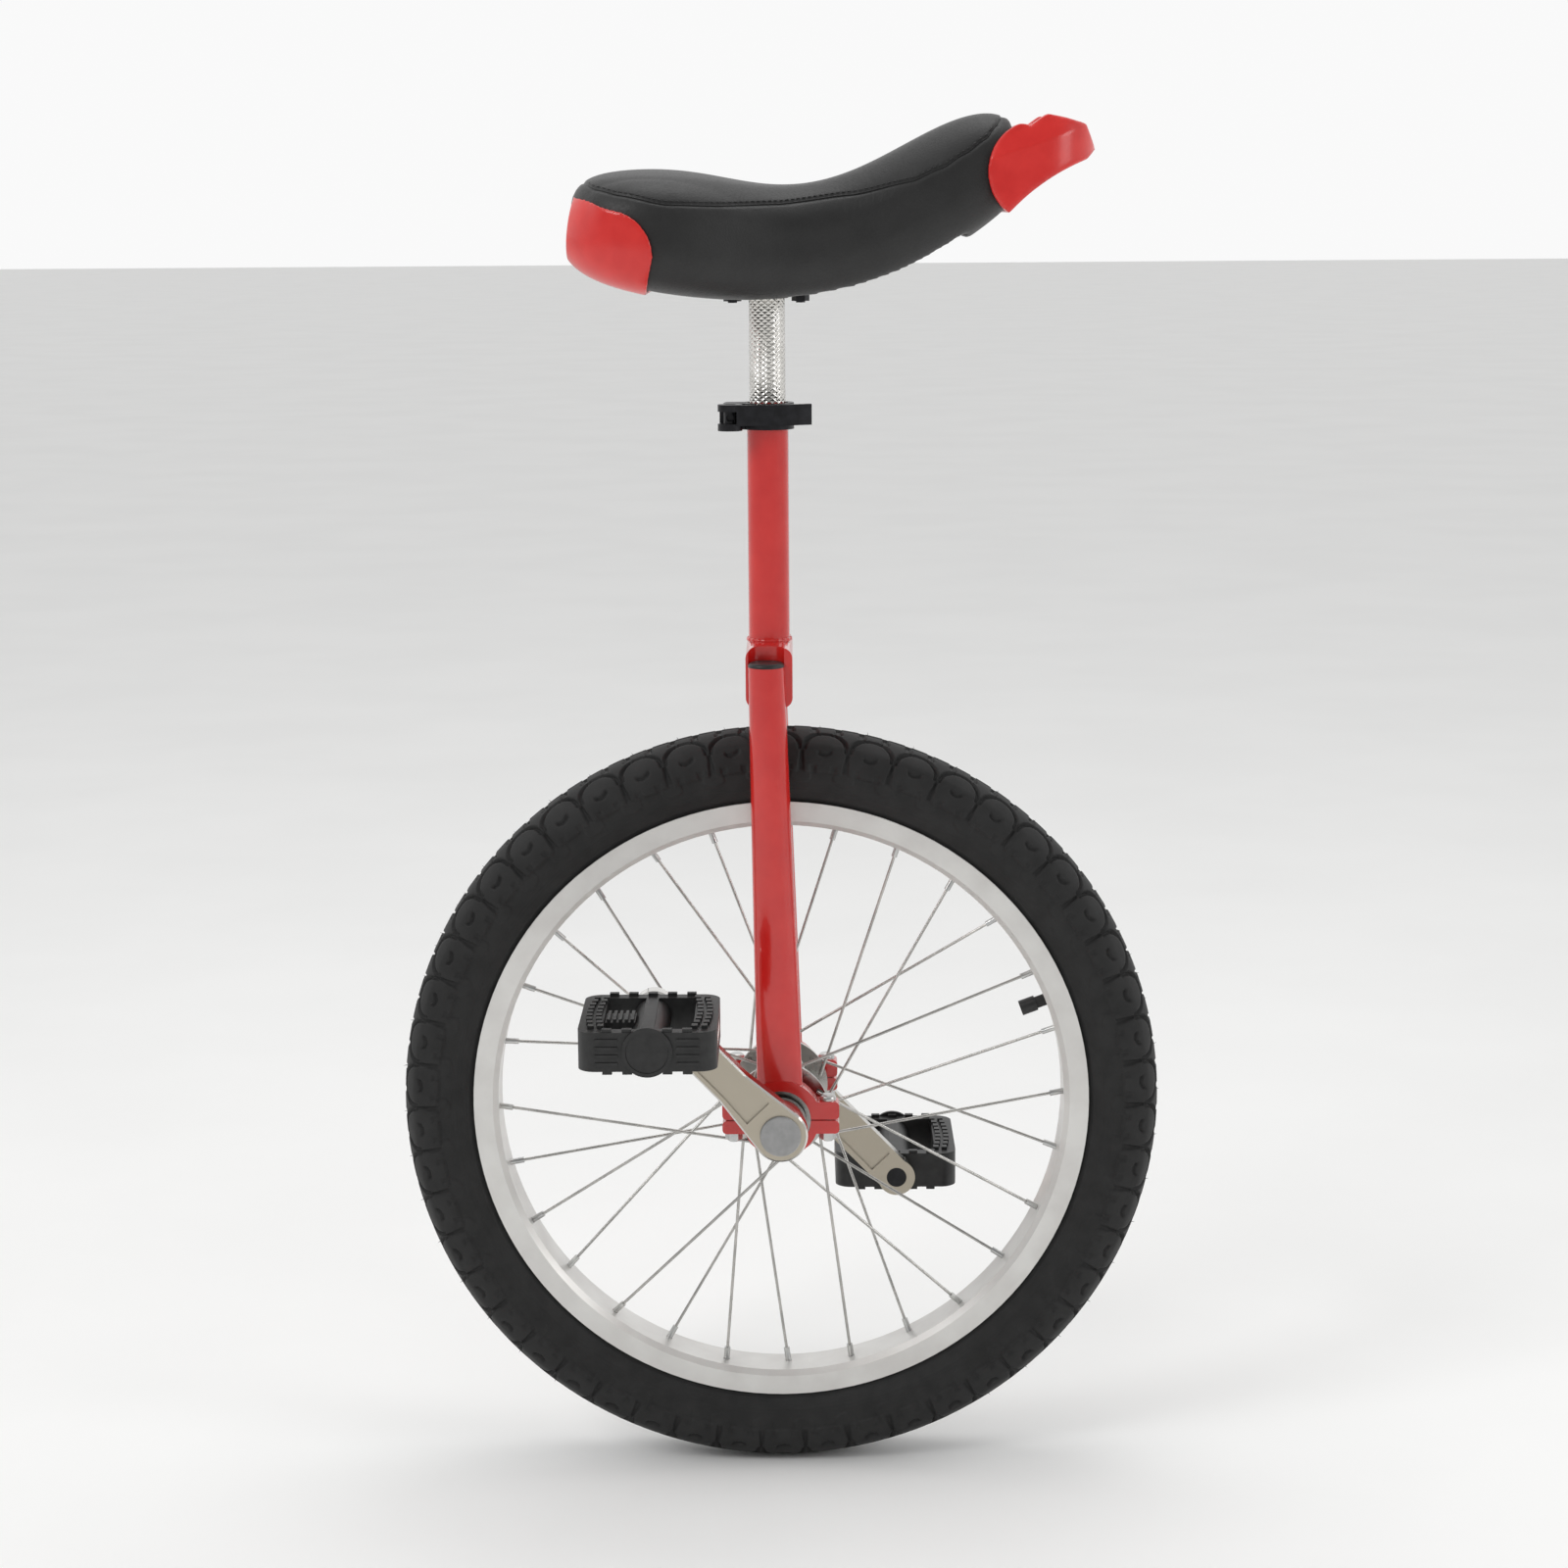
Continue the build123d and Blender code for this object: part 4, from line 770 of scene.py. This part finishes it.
def build_welds(material):
    """The beads round the foot of the main tube and down each side of the legs at the crown."""
    low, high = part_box("crown")
    steps = 96
    ring = []
    for i in range(steps + 1):
        turn = 2 * math.pi * i / steps
        x = TUBE_X + TUBE_RADIUS * math.cos(turn)
        ring.append(Vector((x, TUBE_RADIUS * math.sin(turn), high.z + 0.3 * MM)))
    weld_bead("main_tube_weld", ring, TUBE_WELD_RADIUS, material)
    leg_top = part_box("right_leg")[1].z
    reach = (high.x - low.x) / 2 - 3.2 * MM
    middle = (low.x + high.x) / 2
    steps = 39
    for side, label in ((-1, "right"), (1, "left")):
        for end, place in ((-1, "rear"), (1, "front")):
            path = []
            for i in range(steps + 1):
                z = low.z + 4 * MM + (leg_top - low.z - 6 * MM) * i / steps
                path.append(Vector((middle + end * reach, side * LEG_WELD_Y, z)))
            weld_bead(f"{label}_{place}_crown_weld", path, LEG_WELD_RADIUS, material)


# Room, light and camera

def build_floor():
    """A plain pale floor."""
    bm = bmesh.new()
    bmesh.ops.create_grid(bm, x_segments=4, y_segments=4, size=FLOOR_HALF_SIZE)
    mesh = bpy.data.meshes.new("pale_floor")
    bm.to_mesh(mesh)
    bm.free()
    floor = bpy.data.objects.new("pale_floor", mesh)
    bpy.context.scene.collection.objects.link(floor)
    mesh.materials.append(finish("pale_floor_paint", "#F6F6F5", "#F9F9F8", 40.0, 0.01, 0.7, 0.04))


def build_room():
    """The bright surround and the soft lights."""
    world = bpy.data.worlds.new("studio")
    world.use_nodes = True
    tree = world.node_tree
    background = tree.nodes["Background"]
    background.inputs["Color"].default_value = linear("#FFFFFF")
    towards = add(tree, "ShaderNodeTexCoord").outputs["Generated"]
    depth = add(tree, "ShaderNodeSeparateXYZ", links={"Vector": towards}).outputs["Y"]
    brightness = add(tree, "ShaderNodeMapRange", ROOM_FADE, {"Value": depth}).outputs["Result"]
    tree.links.new(brightness, background.inputs["Strength"])
    bpy.context.scene.world = world
    bpy.context.scene.view_settings.view_transform = "Standard"
    for name, place, size, power in LIGHTS:
        light = bpy.data.lights.new(name, "AREA")
        light.size = size
        light.energy = power
        lamp = bpy.data.objects.new(name, light)
        lamp.location = place
        lamp.rotation_euler = (LIGHT_AIM - Vector(place)).to_track_quat("-Z", "Y").to_euler()
        bpy.context.scene.collection.objects.link(lamp)


def build_camera():
    """The camera on the rider's right, level with the saddle and looking a little down."""
    data = bpy.data.cameras.new("camera")
    data.sensor_width = 36.0
    data.lens = CAMERA_LENS
    camera = bpy.data.objects.new("camera", data)
    bpy.context.scene.collection.objects.link(camera)
    level = math.cos(CAMERA_PITCH)
    forward = Vector((math.sin(CAMERA_YAW) * level, math.cos(CAMERA_YAW) * level, -math.sin(CAMERA_PITCH)))
    right = forward.cross(Vector((0, 0, 1))).normalized()
    up = right.cross(forward)
    tilted_right = right * math.cos(CAMERA_ROLL) + up * math.sin(CAMERA_ROLL)
    tilted_up = up * math.cos(CAMERA_ROLL) - right * math.sin(CAMERA_ROLL)
    turn = Matrix((tilted_right, tilted_up, -forward)).transposed().to_4x4()
    camera.matrix_world = Matrix.Translation(CAMERA_PLACE) @ turn
    bpy.context.scene.camera = camera


MATERIALS = make_materials()
dress_frame(MATERIALS)
build_tyre(MATERIALS["tyre_rubber"])
build_cushion(MATERIALS)
build_guards(MATERIALS["red_plastic"])
build_welds(MATERIALS["painted_steel"])
build_floor()
build_room()
build_camera()

bpy.context.view_layer.update()
